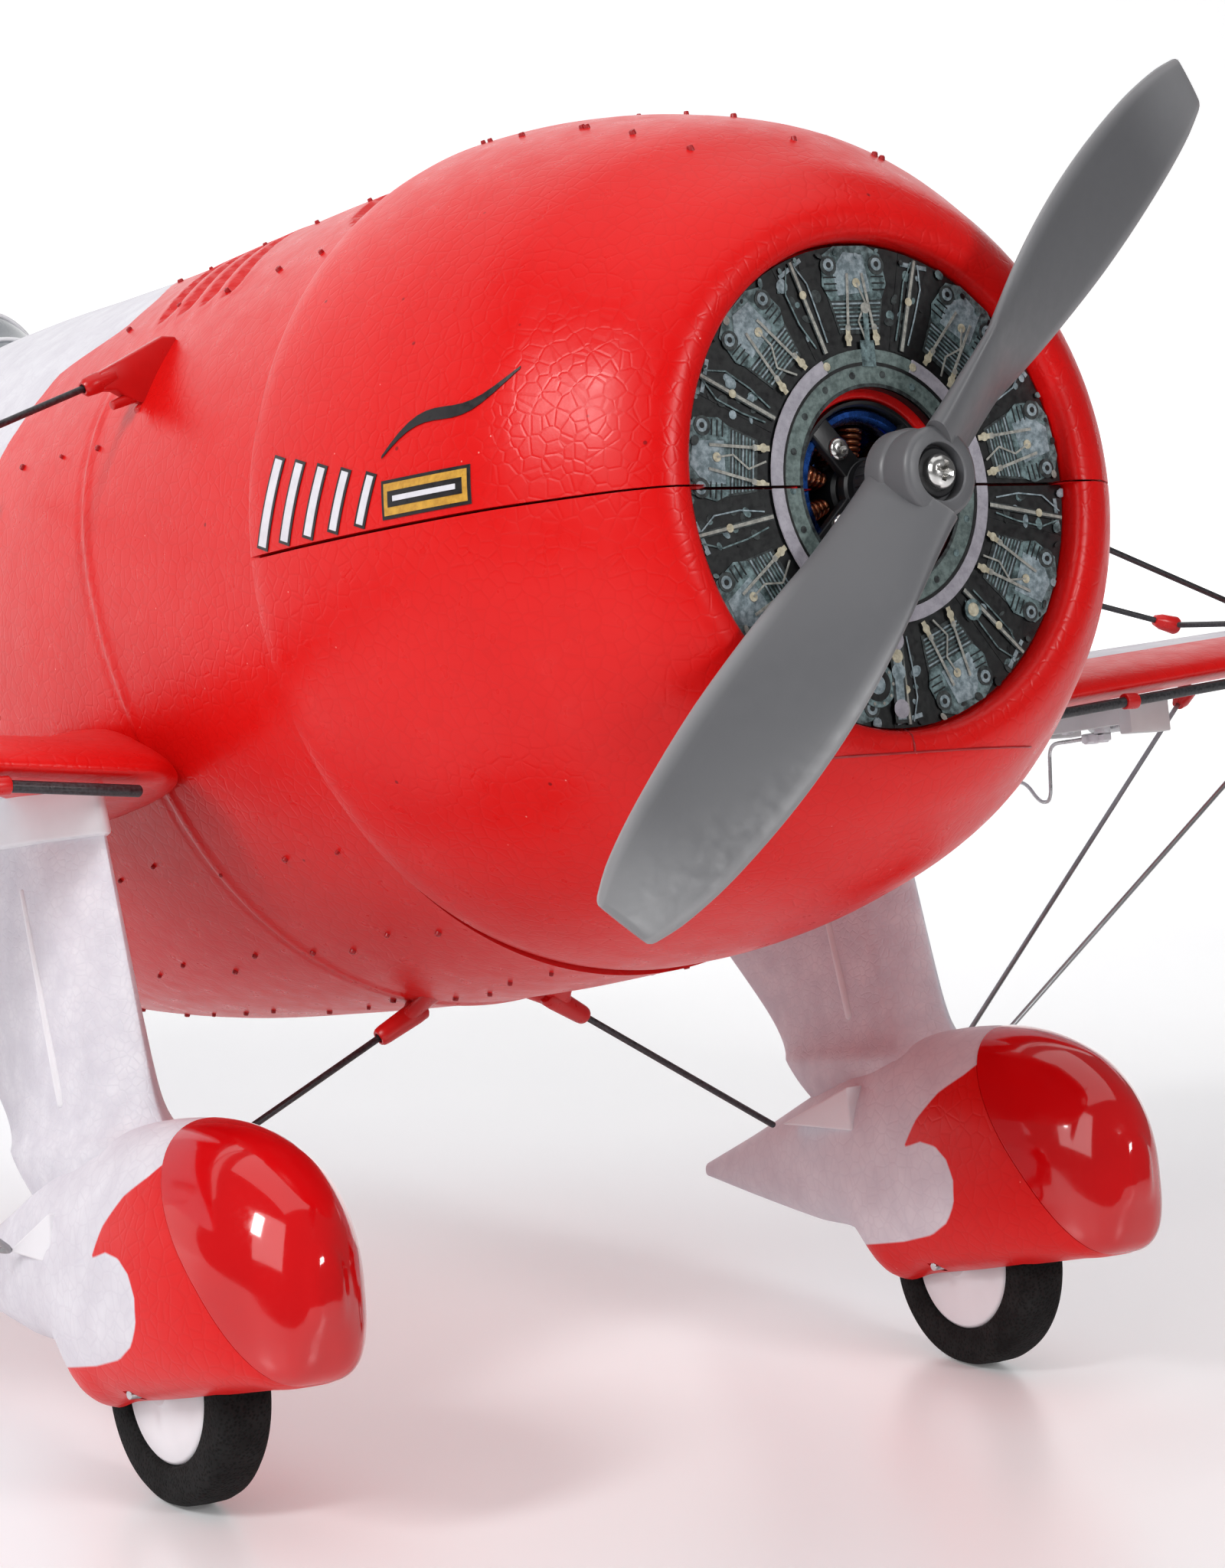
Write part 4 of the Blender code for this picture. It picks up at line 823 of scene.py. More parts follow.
def draw_gap(art, angle, rnd):
    """What shows between two cylinders: an intake pipe, wires, clips and crankcase shadows."""
    art.plate([local(angle, 15.9, -1.5), local(angle, 27.4, -2.3), local(angle, 27.4, 2.3),
               local(angle, 15.9, 1.5)], 0.07, BLACK)
    for _ in range(13):
        r, side = rnd.uniform(18.5, 27.0), rnd.uniform(-2.2, 2.2)
        art.blob(local(angle, r, side), rnd.uniform(0.3, 0.9), rnd.uniform(0.11, 0.15),
                 rnd.choice((SHADOW, TEAL, SHADOW, LIGHT, BLACK)), 10, rnd.uniform(0.4, 1.0),
                 rnd.uniform(0, math.pi))
    lean = rnd.uniform(-0.9, 0.9)
    art.bar(local(angle, 16.2, 0.1), local(angle, 27.2, lean), 0.42, 0.38, ROD, 0.34)
    art.bar(local(angle, 16.2, 0.1), local(angle, 27.2, lean), 0.72, 0.34, SHADOW)
    for side in (-1, 1):
        bend = rnd.uniform(0.9, 1.9)
        art.path([local(angle, 17.2, side * 0.9), local(angle, 20.5, side * bend),
                  local(angle, 24.2, side * (bend + 0.2)), local(angle, 26.9, side * 0.5)], 0.17, 0.30,
                 rnd.choice((ROD, LIGHT, TEAL)))
    art.blob(local(angle, rnd.uniform(21, 24), lean * 0.6), 0.5, 0.44, CREAM, 10)
    art.bar(local(angle, 26.2, -1.9), local(angle, 26.9, 1.9), 0.5, 0.20, LIGHT)


def engine_art():
    art = Print()
    rnd = random.Random(11)
    art.ring(FACE_HOLE, FACE_RADIUS, 0.0, BLACK, thick=1.2)
    for k in range(CYLINDERS):
        angle = 360.0 * k / CYLINDERS - 2.0
        draw_gap(art, angle + 180.0 / CYLINDERS, rnd)
        draw_cylinder(art, angle, rnd)
    # rim clutter against the cowl
    for k in range(54):
        a = k * 360.0 / 54 + rnd.uniform(-2, 2)
        art.blob(polar(rnd.uniform(26.2, 27.3), a), rnd.uniform(0.25, 0.7), 0.33,
                 rnd.choice((SHADOW, TEAL, LIGHT, BLACK, ROD)), 9, rnd.uniform(0.4, 1.0), rnd.uniform(0, 3))
    # crankcase ring, collector ring with its gap at the top, and the line between them
    art.ring(FACE_HOLE, 14.1, 0.42, GREEN)
    art.ring(13.75, 14.15, 0.47, LINE)
    art.ring(14.15, 15.75, 0.55, RING, 24, 334, 0.2)
    art.ring(14.1, 15.6, 0.45, GREEN, -26, 24)
    art.ring(11.3, 11.7, 0.47, SHADOW)
    for k in range(18):
        a = k * 20.0 + 8
        art.blob(polar(12.8, a), 0.42, 0.48, rnd.choice((TEAL, SHADOW)), 10)
    for side in (-1, 1):
        art.blob(polar(14.9, side * 25.0), 0.5, 0.60, CREAM, 10)
    art.bar(polar(14.2, 0), polar(20.2, 0.5), 0.7, 0.52, TEAL)
    art.bar(polar(13.6, 0), polar(16.6, 0), 2.0, 0.50, TEAL)
    art.blob(polar(20.3, 0.5), 0.65, 0.53, ROD, 12)
    # oil sump and its pump at the bottom
    art.bar(polar(16.4, 181), polar(27.0, 181), 1.9, 0.52, SHADOW)
    art.bar(polar(17.0, 181), polar(26.6, 181), 1.2, 0.57, LIGHT)
    for r, size, ink in ((17.6, 1.15, RING), (19.4, 0.8, CREAM), (21.2, 1.0, LIGHT), (25.4, 1.1, RING)):
        art.blob(polar(r, 181), size, 0.62, ink, 16)
    art.blob(polar(22.8, 189), 2.6, 0.50, TEAL, 26)
    art.blob(polar(22.8, 189), 1.9, 0.54, BLACK, 24)
    art.blob(polar(22.8, 189), 1.1, 0.58, LIGHT, 20)
    for k in range(10):
        a = k * 36
        cx, cz = polar(22.8, 189)
        art.blob((cx + 2.25 * math.cos(math.radians(a)), cz + 2.25 * math.sin(math.radians(a))), 0.2, 0.57,
                 ROD, 8)
    art.blob(polar(18.6, 141), 1.25, 0.52, TEAL, 20)
    art.blob(polar(18.6, 141), 0.8, 0.56, CREAM, 16)
    return art.bm


def half_of(mesh, up):
    """The part of the printed face above or below the hatch seam."""
    bm = bmesh.new()
    bm.from_mesh(mesh)
    cut = bmesh.ops.bisect_plane(bm, geom=bm.verts[:] + bm.edges[:] + bm.faces[:], dist=1e-5,
                                 plane_co=(0, 0, up * SEAM / 2), plane_no=(0, 0, -up), clear_outer=True)
    edges = [e for e in cut["geom_cut"] if isinstance(e, bmesh.types.BMEdge)]
    bmesh.ops.holes_fill(bm, edges=edges, sides=0)
    return bm


def make_engine():
    mesh = bpy.data.meshes.new("engine_art")
    engine_art().to_mesh(mesh)
    for name, up, body in (("engine_print_upper", 1, "hatch"), ("engine_print_lower", -1, "airframe")):
        node = "engine_face_upper" if up > 0 else "engine_face_lower"
        piece(name, half_of(mesh, up), body, PRINT_MATS, [node], 30)


def make_motor():
    """Blue anodised outrunner: flange, copper coils, black arms and their screws, and the spinning bell."""
    axis = (0, 1, 0)
    flange = [(9.25, 10.9), (9.25, 12.9), (9.0, 13.2), (8.0, 13.2), (7.7, 12.9), (7.7, 11.6), (7.9, 11.2),
              (8.4, 10.7), (9.0, 10.7)]
    bm = revolve_bm(flange, (0, 0, 0), axis, 96, closed=True)
    piece("motor_flange_ring", bm, "airframe", "blue_metal", ["motor_stator"])
    coils = bmesh.new()
    slots = 9
    for k in range(slots):
        turn = 2 * math.pi * k / slots
        for layer in range(5):
            reach, half = 4.4 + layer * 0.72, 0.75 + layer * 0.16
            c, s = math.cos(turn), math.sin(turn)
            loop = []
            for j in range(13):
                t = 2 * math.pi * j / 12
                u, v = half * math.cos(t), 1.5 * math.sin(t)
                loop.append((reach * c - u * s, 14.6 - v * 1.2, reach * s + u * c))
            tube_bm(loop, 0.33, 8, coils)
    piece("motor_windings", coils, "airframe", "copper", ["motor_stator"], 60)
    core = [(1.7, 12.2), (3.2, 12.2), (3.6, 12.6), (3.6, 20.4), (1.7, 20.4)]
    bm = revolve_bm(core, (0, 0, 0), axis, 40, closed=True)
    for k in range(9):
        turn = 2 * math.pi * k / 9
        a = Vector((3.2 * math.cos(turn), 15.5, 3.2 * math.sin(turn)))
        b = Vector((7.4 * math.cos(turn), 15.5, 7.4 * math.sin(turn)))
        cylinder_bm(a, b, 0.7, sides=12, bm=bm, bevel=0.15)
    piece("motor_core", bm, "airframe", "black_plastic", ["motor_stator"])
    mount = revolve_bm([(1.75, 9.9), (3.3, 9.9), (3.6, 10.2), (3.6, 11.3), (1.75, 11.3)], (0, 0, 0), axis, 40,
                       closed=True)
    for k in range(4):
        turn = math.radians(48 + 90 * k)
        c, s = math.cos(turn), math.sin(turn)
        own = box_bm((2.8, 10.0, -1.5), (9.7, 11.3, 1.5), 0.25)
        bmesh.ops.rotate(own, cent=(0, 0, 0), matrix=Matrix.Rotation(turn, 3, "Y"), verts=own.verts)
        scratch = bpy.data.meshes.new("arm")
        own.to_mesh(scratch)
        own.free()
        mount.from_mesh(scratch)
    sleeve = [(10.05, 9.9), (10.05, 20.0), (9.5, 20.0), (9.5, 10.2), (9.7, 9.9)]
    revolve_bm(sleeve, (0, 0, 0), axis, 72, mount, closed=True)
    piece("motor_mount_spider", mount, "airframe", "black_plastic", ["motor_mount"])
    screws = bmesh.new()
    for k in range(4):
        turn = math.radians(48 + 90 * k)
        centre = Vector((6.1 * math.cos(turn), 10.0, -6.1 * math.sin(turn)))
        cross_screw(screws, centre, (0, -1, 0), 1.35, 0.75, turn)
    piece("motor_mount_screws", screws, "airframe", "screw", ["motor_mount"], 30)
    bell = [(9.2, 13.9), (9.2, 22.6), (8.8, 23.0), (1.6, 23.0), (1.0, 22.4), (1.0, 21.2), (7.9, 21.2),
            (7.9, 13.7), (9.0, 13.7)]
    piece("motor_bell_shell", revolve_bm(bell, (0, 0, 0), axis, 96, closed=True), "propeller", "blue_metal",
          ["motor_bell"])
    shaft = cylinder_bm((0, 22.9, 0), (0, -1.2, 0), 1.0, sides=32, bevel=0.2)
    piece("motor_shaft", shaft, "propeller", "steel", ["motor_bell"])


def cross_screw(bm, centre, axis, radius, height, turn=0.0):
    """A pan-head screw with a cross recess, standing on centre and facing along axis."""
    axis = Vector(axis).normalized()
    profile = [(0.0, height), (radius * 0.45, height * 0.99), (radius * 0.75, height * 0.86),
               (radius * 0.93, height * 0.6), (radius, height * 0.3), (radius * 0.96, 0.0), (0.0, 0.0)]
    own = revolve_bm(profile, centre, axis, 40)
    across = axis.orthogonal().normalized()
    rotation = Matrix.Rotation(turn, 3, axis)
    steps = []
    for k in range(2):
        along = rotation @ (Matrix.Rotation(math.pi / 2 * k, 3, axis) @ across)
        side = axis.cross(along)
        top, low = centre + axis * (height + 0.3), centre + axis * height * 0.25
        reach, half = radius * 0.62, radius * 0.13
        rings = []
        for level, shrink in ((top, 1.15), (low, 0.35)):
            widening = 1.25 if level is top else 0.8
            rings.append([level + along * reach * shrink * a + side * half * widening * b
                          for a, b in ((1, 1), (-1, 1), (-1, -1), (1, -1))])
        steps.append(("DIFFERENCE", grid_loft(rings)))
    mesh = boolean(own, *steps)
    bm.from_mesh(mesh)
    bpy.data.meshes.remove(mesh)


# ---------------------------------------------------------------- propeller

PROP_RADIUS, PROP_PITCH, PROP_ANGLE, HUB_RADIUS = 66.675, 88.9, math.radians(45.5), 5.2
HUB_FRONT, HUB_BACK, RECESS_RADIUS, RECESS_FLOOR, MOST_PITCH_DEG = -2.8, 4.4, 3.3, -0.9, 40
BLADE = ((4.0, 11.4, 3.8, 0.0), (9.0, 12.0, 3.3, 0.2), (18, 13.6, 2.3, 0.5), (30, 15.2, 1.8, 0.6),
         (42, 15.3, 1.5, 0.3), (54, 13.4, 1.2, -0.2), (62, 10.6, 1.0, -0.7), (PROP_RADIUS, 7.4, 0.8, -1.0))


def blade_ring(radius, count=44, shrink=1.0, thin=1.0):
    chord, thickness, sweep = smooth_table(BLADE, min(radius, PROP_RADIUS))
    pitch = min(math.atan2(PROP_PITCH, 2 * math.pi * radius), math.radians(MOST_PITCH_DEG))
    ring = []
    for k in range(count):
        turn = 2 * math.pi * k / count
        u = math.cos(turn) * chord / 2 * shrink + sweep
        v = (math.copysign(abs(math.sin(turn)) ** 0.8, math.sin(turn)) * thickness * thin / 2
             - 0.05 * chord * math.sin(turn / 2) ** 2)
        ring.append((radius, -(u * math.sin(pitch) + v * math.cos(pitch)),
                     u * math.cos(pitch) - v * math.sin(pitch)))
    return ring


def make_propeller():
    hub = [(1.2, HUB_BACK), (HUB_RADIUS - 0.3, HUB_BACK), (HUB_RADIUS, HUB_BACK - 0.3),
           (HUB_RADIUS, HUB_FRONT + 0.7), (HUB_RADIUS - 0.2, HUB_FRONT + 0.25), (HUB_RADIUS - 0.7, HUB_FRONT),
           (RECESS_RADIUS + 0.15, HUB_FRONT), (RECESS_RADIUS, HUB_FRONT + 0.15),
           (RECESS_RADIUS, RECESS_FLOOR), (1.2, RECESS_FLOOR)]
    hub_bm = revolve_bm(hub, (0, 0, 0), (0, 1, 0), 96, closed=True)
    steps = []
    radii = [3.4] + spaced(4.5, 64.0, 1.4) + [65.0, 65.8]
    for k in range(2):
        rings = [blade_ring(r) for r in radii]
        rings += [blade_ring(66.3, shrink=0.97, thin=0.8), blade_ring(66.6, shrink=0.9, thin=0.5)]
        blade = grid_loft(rings)
        turn = Matrix.Rotation(-PROP_ANGLE + math.pi * k, 3, "Y")
        bmesh.ops.rotate(blade, cent=(0, 0, 0), matrix=turn, verts=blade.verts)
        steps.append(("UNION", blade))
    shoulder = revolve_bm([(0.0, HUB_BACK), (5.2, HUB_BACK), (5.6, HUB_BACK - 0.4), (5.6, 1.8), (5.3, 1.2),
                           (4.8, 0.9), (0.0, 0.9)], (0, 0, 0), (0, 1, 0), 96)
    bore = revolve_bm([(0.0, -8), (RECESS_RADIUS, -8), (RECESS_RADIUS, RECESS_FLOOR), (1.2, RECESS_FLOOR),
                       (1.2, 8), (0.0, 8)], (0, 0, 0), (0, 1, 0), 96)
    mesh = boolean(hub_bm, *steps, ("UNION", shoulder), ("DIFFERENCE", bore))
    # the thin mask marks the blade's thin edges and tips, where the propeller's colour is lightened as
    # painted light let through
    layer = mesh.attributes.new("thin", "FLOAT", "POINT")
    for vertex, item in zip(mesh.vertices, layer.data):
        p = Matrix.Rotation(PROP_ANGLE, 3, "Y") @ vertex.co
        radius = abs(p.x)
        chord, _, sweep = smooth_table(BLADE, min(max(radius, 4), PROP_RADIUS))
        pitch = min(math.atan2(PROP_PITCH, 2 * math.pi * max(radius, 1)), math.radians(MOST_PITCH_DEG))
        sign = 1 if p.x > 0 else -1
        u = (p.z * sign) * math.cos(pitch) - p.y * math.sin(pitch)
        edge = min(abs(u - sweep) / (chord / 2), 1.0)
        item.value = step(14, 30, radius) * (0.95 * step(0.72, 1.0, edge) + 0.7 * step(52, 66, radius))
    piece("propeller_moulding", mesh, "propeller", "propeller", ["propeller"], 42)
    screw = bmesh.new()
    cross_screw(screw, Vector((0, -1.9, 0)), (0, -1, 0), 2.1, 1.5, 0.5)
    cylinder_bm((0, -1.9, 0), (0, -0.9, 0), 1.15, sides=24, bm=screw)
    piece("propeller_screw", screw, "propeller", "screw", ["prop_screw"], 30)
    washer = revolve_bm([(1.25, -1.0), (2.75, -1.0), (2.85, -1.1), (2.85, -1.7), (2.65, -1.9), (1.25, -1.9)],
                        (0, 0, 0), (0, 1, 0), 64, closed=True)
    piece("propeller_washer", washer, "propeller", "black_plastic", ["prop_screw"])
    adapter = [(1.3, 4.7), (2.5, 4.7), (3.2, 5.0), (3.4, 5.4), (3.4, 8.5), (3.2, 9.0), (2.5, 9.3), (1.3, 9.3)]
    bm = revolve_bm(adapter, (0, 0, 0), (0, 1, 0), 64, closed=True)
    for k in range(18):
        turn = 2 * math.pi * k / 18
        c, s = math.cos(turn), math.sin(turn)
        cylinder_bm((3.38 * c, 5.6, 3.38 * s), (3.38 * c, 8.4, 3.38 * s), 0.16, sides=8, bm=bm, bevel=0.05)
    piece("propeller_adapter", bm, "propeller", "black_plastic", ["prop_adapter"])


make_engine()
make_motor()
make_propeller()


# ---------------------------------------------------------------- wings

WING_ROOT, WING_HALF_SPAN, TIP_START = 42.0, 255.0, 190.0
WING_LE_ROOT, WING_TE_ROOT, WING_LE_SLOPE, WING_TE_SLOPE = 80.0, 171.0, 0.027, -0.153
WING_LE_Z, DIHEDRAL, WING_FILLET_X = -22.5, 0.09, 56.0
THICKNESS_RATIO, CAMBER, ROOT_SWEEP = 0.10, 0.025, 13.5
AILERON_IN, AILERON_OUT, AILERON_CHORD_IN, AILERON_CHORD_OUT = 105.0, 222.0, 21.0, 14.5
AILERON_ROD_X, AILERON_HORN_ARM = 122.0, 14.0


def wing_plan(x):
    """(front edge y, back edge y) of the left wing at x."""
    front = WING_LE_ROOT + WING_LE_SLOPE * (x - 50) + ROOT_SWEEP * (max(WING_FILLET_X - x, 0) / 10) ** 2
    back = WING_TE_ROOT + WING_TE_SLOPE * (x - 50)
    if x > TIP_START:
        reach = min((x - TIP_START) / (WING_HALF_SPAN - TIP_START), 0.9985)
        share = (1 - reach ** 2.3) ** (1 / 2.3)
        middle = front + 0.47 * (back - front)
        front, back = middle + (front - middle) * share, middle + (back - middle) * share
    return front, back


def leading_edge_z(x):
    return WING_LE_Z + DIHEDRAL * (x - WING_FILLET_X)


def wing_surface(x, share, upper):
    """Height of the wing's skin at x and a share of the chord."""
    front, back = wing_plan(x)
    chord = back - front
    flesh = 5 * THICKNESS_RATIO * chord * (0.2969 * math.sqrt(share) - 0.126 * share
                                           - 0.3516 * share ** 2 + 0.2843 * share ** 3
                                           - 0.1015 * share ** 4)
    flesh = max(flesh, 0.45 * share) if share > 0 else 0
    camber = 4 * CAMBER * chord * share * (1 - share)
    return leading_edge_z(x) + camber + (flesh if upper else -flesh * 0.8)


def fillet(x, y, share, upper):
    """Extra height of the moulded root fairing, which swells towards the fuselage side."""
    w = smooth_table(BODY_STATIONS, max(y, 61.4))[0]
    out = max(x - w * 0.97, 0.0)
    size = 2.6 if upper else 1.0
    return size * math.exp(-(out / 4.5) ** 1.3) * step(0.0, 0.22, share) * (1 if upper else -1)


def wing_ring(side, x, steps=44):
    front, back = wing_plan(x)
    upper, lower = [], []
    for k in range(steps + 1):
        share = (1 - math.cos(math.pi * k / steps)) / 2
        y = front + (back - front) * share
        upper.append((side * x, y, wing_surface(x, share, True) + fillet(x, y, share, True)))
        if 0 < k:
            lower.append((side * x, y, wing_surface(x, share, False) + fillet(x, y, share, False)))
    return list(reversed(upper)) + lower


def aileron_hinge(x):
    """(y, z, half thickness) of the aileron's straight hinge line at x."""
    ends = []
    for at, chord in ((AILERON_IN, AILERON_CHORD_IN), (AILERON_OUT, AILERON_CHORD_OUT)):
        front, back = wing_plan(at)
        share = (back - chord - front) / (back - front)
        top, low = wing_surface(at, share, True), wing_surface(at, share, False)
        ends.append((back - chord, (top + low) / 2, (top - low) / 2))
    t = (x - AILERON_IN) / (AILERON_OUT - AILERON_IN)
    return tuple(a + (b - a) * t for a, b in zip(*ends))


def wing_paint(p):
    """Red leading band that widens in a scallop towards the root, white behind."""
    x = abs(p.x)
    front = wing_plan(min(x, WING_HALF_SPAN - 1))[0]
    edge = front + 11.5 + 58.0 * math.exp(-max(x - 50, 0) / 7.5) - 6.0 * step(200, 250, x)
    return min(max(0.5 + (edge - p.y) / 3.0, 0.0), 1.0)


def surface_ring(x, hinge, back, z, half, tip_half=0.45, nose_steps=14, run=6):
    """A control surface's section in the plane x: round nose on the hinge line, thin trailing edge."""
    ring = []
    for k in range(nose_steps + 1):
        turn = math.pi / 2 + math.pi * k / nose_steps
        ring.append((x, hinge + half * math.cos(turn), z + half * math.sin(turn)))
    for k in range(1, run):
        t = k / run
        ring.append((x, hinge + (back - hinge) * t, z - half + (half - tip_half) * t))
    for dy, dz in ((0.35, -1.0), (0.05, -0.6), (0.0, 0.0), (0.05, 0.6), (0.35, 1.0)):
        ring.append((x, back - dy, z + dz * tip_half))
    for k in range(run - 1, 0, -1):
        t = k / run
        ring.append((x, hinge + (back - hinge) * t, z + half - (half - tip_half) * t))
    return ring


def round_ends(rings, inset=0.6):
    """Swaps a surface's square ends for slightly smaller rings, to round their edges."""
    def shrunk(ring):
        middle = sum((Vector(p) for p in ring), Vector()) / len(ring)
        return [middle + (Vector(p) - middle) * (1 - inset * 0.12) for p in ring]

    def moved(ring, beyond):
        return [Vector(p) + (Vector(q) - Vector(p)).normalized() * inset * 0.5 for p, q in zip(ring, beyond)]
    return ([shrunk(rings[0]), moved(rings[0], rings[1])] + rings[1:-1]
            + [moved(rings[-1], rings[-2]), shrunk(rings[-1])])


def make_wing(name, side):
    xs = [WING_ROOT] + spaced(46, 70, 1.2) + spaced(72, TIP_START, 3.0) + spaced(193, 246, 2.2)
    xs += [248, 249.8, 251.4, 252.7, 253.7, 254.4, 254.8, WING_HALF_SPAN]
    wing = grid_loft([wing_ring(side, x) for x in xs])
    y_in, _, half_in = aileron_hinge(AILERON_IN)
    y_out, _, half_out = aileron_hinge(AILERON_OUT)
    end_gap, nose_gap = 1.1, 0.6
    outline = [(side * (AILERON_IN - end_gap), y_in - half_in - nose_gap),
               (side * (AILERON_OUT + end_gap), y_out - half_out - nose_gap),
               (side * (AILERON_OUT + end_gap), 200), (side * (AILERON_IN - end_gap), 200)]
    bay = grid_loft([[(x, y, -60) for x, y in outline], [(x, y, 40) for x, y in outline]])
    body = [[tuple(skin_point(y, 2 * math.pi * k / 72, -1.2)) for k in range(72)]
            for y in spaced(66, 240, 6)]
    mesh = boolean(wing, ("DIFFERENCE", bay), ("DIFFERENCE", grid_loft(body)))
    paint_values(mesh, wing_paint)
    piece(f"wing_panel_{name}", mesh, "airframe", "wing_foam", [f"wing_{name}"], 40)

    rings = []
    for x in spaced(AILERON_IN, AILERON_OUT, 3.0):
        hinge_y, hinge_z, half = aileron_hinge(x)
        back = wing_plan(x)[1]
        back_z = (wing_surface(x, 1, True) + wing_surface(x, 1, False)) / 2
        ring = surface_ring(side * x, hinge_y, back, hinge_z, half * 0.96)
        rings.append([(px, y, z + (back_z - hinge_z) * max(0.0, (y - hinge_y) / (back - hinge_y)))
                      for px, y, z in ring])
    mesh = bake(grid_loft(round_ends(rings)))
    paint_values(mesh, lambda p: 0.0)
    piece(f"aileron_panel_{name}", mesh, f"aileron_{name}", "wing_foam", [f"aileron_{name}"], 40)

    path = [(side * at, wing_plan(at)[0] + 0.3, leading_edge_z(at) - 2.5) for at in spaced(58, 205, 8)]
    piece(f"wing_spar_rod_{name}", tube_bm(path, 0.75), "airframe", "carbon",
          [f"wing_rod_{name}"], 60)
    # clips that hold the rod in its groove
    clips = bmesh.new()
    for at in (76.0, 104.0, 136.0, 168.0, 200.0):
        y, z = wing_plan(at)[0] + 0.3, leading_edge_z(at) - 2.5
        ring = [(side * at - 1.2, y, z), (side * at + 1.2, y, z)]
        cylinder_bm(ring[0], ring[1], 1.15, sides=20, bm=clips, bevel=0.2)
    piece(f"wing_rod_clips_{name}", clips, "airframe", "red_moulded", [f"wing_rod_{name}"], 45)
    make_aileron_drive(name, side)


def make_aileron_drive(name, side):
    """The open linear servo under the wing, with its bent wire to the aileron's horn."""
    x = AILERON_ROD_X
    hinge_y, hinge_z, _ = aileron_hinge(x)
    servo_top = min(wing_surface(x - 3, share, False) for share in (0.25, 0.5)) - FIT
    cx, cy, cz = side * (x + 1), 109.0, servo_top - 2.7
    bm = bmesh.new()

    def block(low, high, bevel=0.25):
        xs = sorted((cx + side * low[0], cx + side * high[0]))
        zs = sorted((cz - low[2], cz - high[2]))
        box_bm((xs[0], cy + low[1], zs[0]), (xs[1], cy + high[1], zs[1]), bevel, bm, 2)
    block((-4, -11, -2.7), (4, 11, -1.4))
    block((-4, -11, -2.0), (4, -8.4, 2.7))
    block((-4, 8.5, -2.0), (4, 11, 1.6))
    block((-4, -8.6, -2.0), (-2.7, 9, 1.2))
    block((2.9, -8.6, -1.8), (4.0, -5.0, 2.0))
    for k in range(4):
        block((-3.4 + k * 2.0, 11.0, -2.4), (-2.6 + k * 2.0, 11.9, 0.6), 0.15)
    piece(f"servo_frame_{name}", bm, "airframe", "servo_white",
          [f"aileron_servo_{name}"], 35)
    motor = bmesh.new()
    mx = cx + side * 1.6
    revolve_bm([(0.0, -7.8), (0.8, -7.8), (1.7, -7.4), (1.9, -7.0), (1.9, 2.6), (1.6, 3.2), (0.7, 3.2),
                (0.7, 4.0), (0.0, 4.0)], (mx, cy, cz), (0, 1, 0), 32, motor)
    piece(f"servo_motor_{name}", motor, "airframe", "steel", [f"aileron_servo_{name}"], 35)
    gears = bmesh.new()
    for gx, gy, r, thick in ((mx, cy + 5.0, 0.9, 1.4), (cx - side * 0.9, cy + 6.4, 1.7, 1.2)):
        teeth = []
        count = 12 if r < 1 else 22
        for k in range(count * 2):
            reach = r if k % 2 else r - 0.22
            teeth.append((reach * math.cos(math.pi * k / count), reach * math.sin(math.pi * k / count)))
        grid_loft([[(gx + a, gy - thick / 2, cz + 0.3 + b) for a, b in teeth],
                   [(gx + a, gy + thick / 2, cz + 0.3 + b) for a, b in teeth]], bm=gears)
    piece(f"servo_gears_{name}", gears, "airframe", "white_plastic",
          [f"aileron_servo_{name}"], 20)
    screw = bmesh.new()
    pitch, turns = 0.8, 15
    path = []
    for k in range(turns * 10):
        t = 2 * math.pi * k / 10
        path.append((cx - side * 0.9 + 0.55 * math.cos(t), cy - 7.5 + pitch * k / 10,
                     cz + 0.3 + 0.55 * math.sin(t)))
    tube_bm(path, 0.2, 6, screw)
    cylinder_bm((cx - side * 0.9, cy - 8.4, cz + 0.3), (cx - side * 0.9, cy + 6.0, cz + 0.3), 0.5, sides=16,
                bm=screw)
    piece(f"servo_lead_screw_{name}", screw, "airframe", "steel", [f"aileron_servo_{name}"], 60)

    rod_z = hinge_z - AILERON_HORN_ARM
    start_z = cz - 2.4
    path = [(side * x, 109.0, start_z), (side * x, 119.6, start_z), (side * x, 120.5, rod_z - 3.6),
            (side * x, 123.0, rod_z - 3.6), (side * x, 126.0, rod_z), (side * x, hinge_y, rod_z),
            (side * (x + 3.6), hinge_y, rod_z)]
    piece(f"aileron_push_rod_{name}", tube_bm(rounded_path(path, 2.0), 0.3, 14), f"aileron_rod_{name}",
          "steel", [f"aileron_rod_{name}"], 60)
    slider = box_bm((side * x - 0.85, 106.5, start_z - 0.7), (side * x + 0.85, 111.5, start_z + 0.7), 0.25)
    box_bm((side * x - 0.85, 106.5, start_z), (side * x + 0.85, 108.6, start_z + 2.6), 0.25, slider)
    box_bm((side * x - 1.3, 107.6, start_z - 0.9), (side * x + 1.3, 108.4, start_z + 0.4), 0.2, slider)
    box_bm((side * x - 1.3, 109.8, start_z - 0.9), (side * x + 1.3, 110.6, start_z + 0.4), 0.2, slider)
    piece(f"servo_slider_{name}", slider, f"aileron_rod_{name}", "white_plastic",
          [f"aileron_rod_{name}"], 35)


# ---------------------------------------------------------------- undercarriage

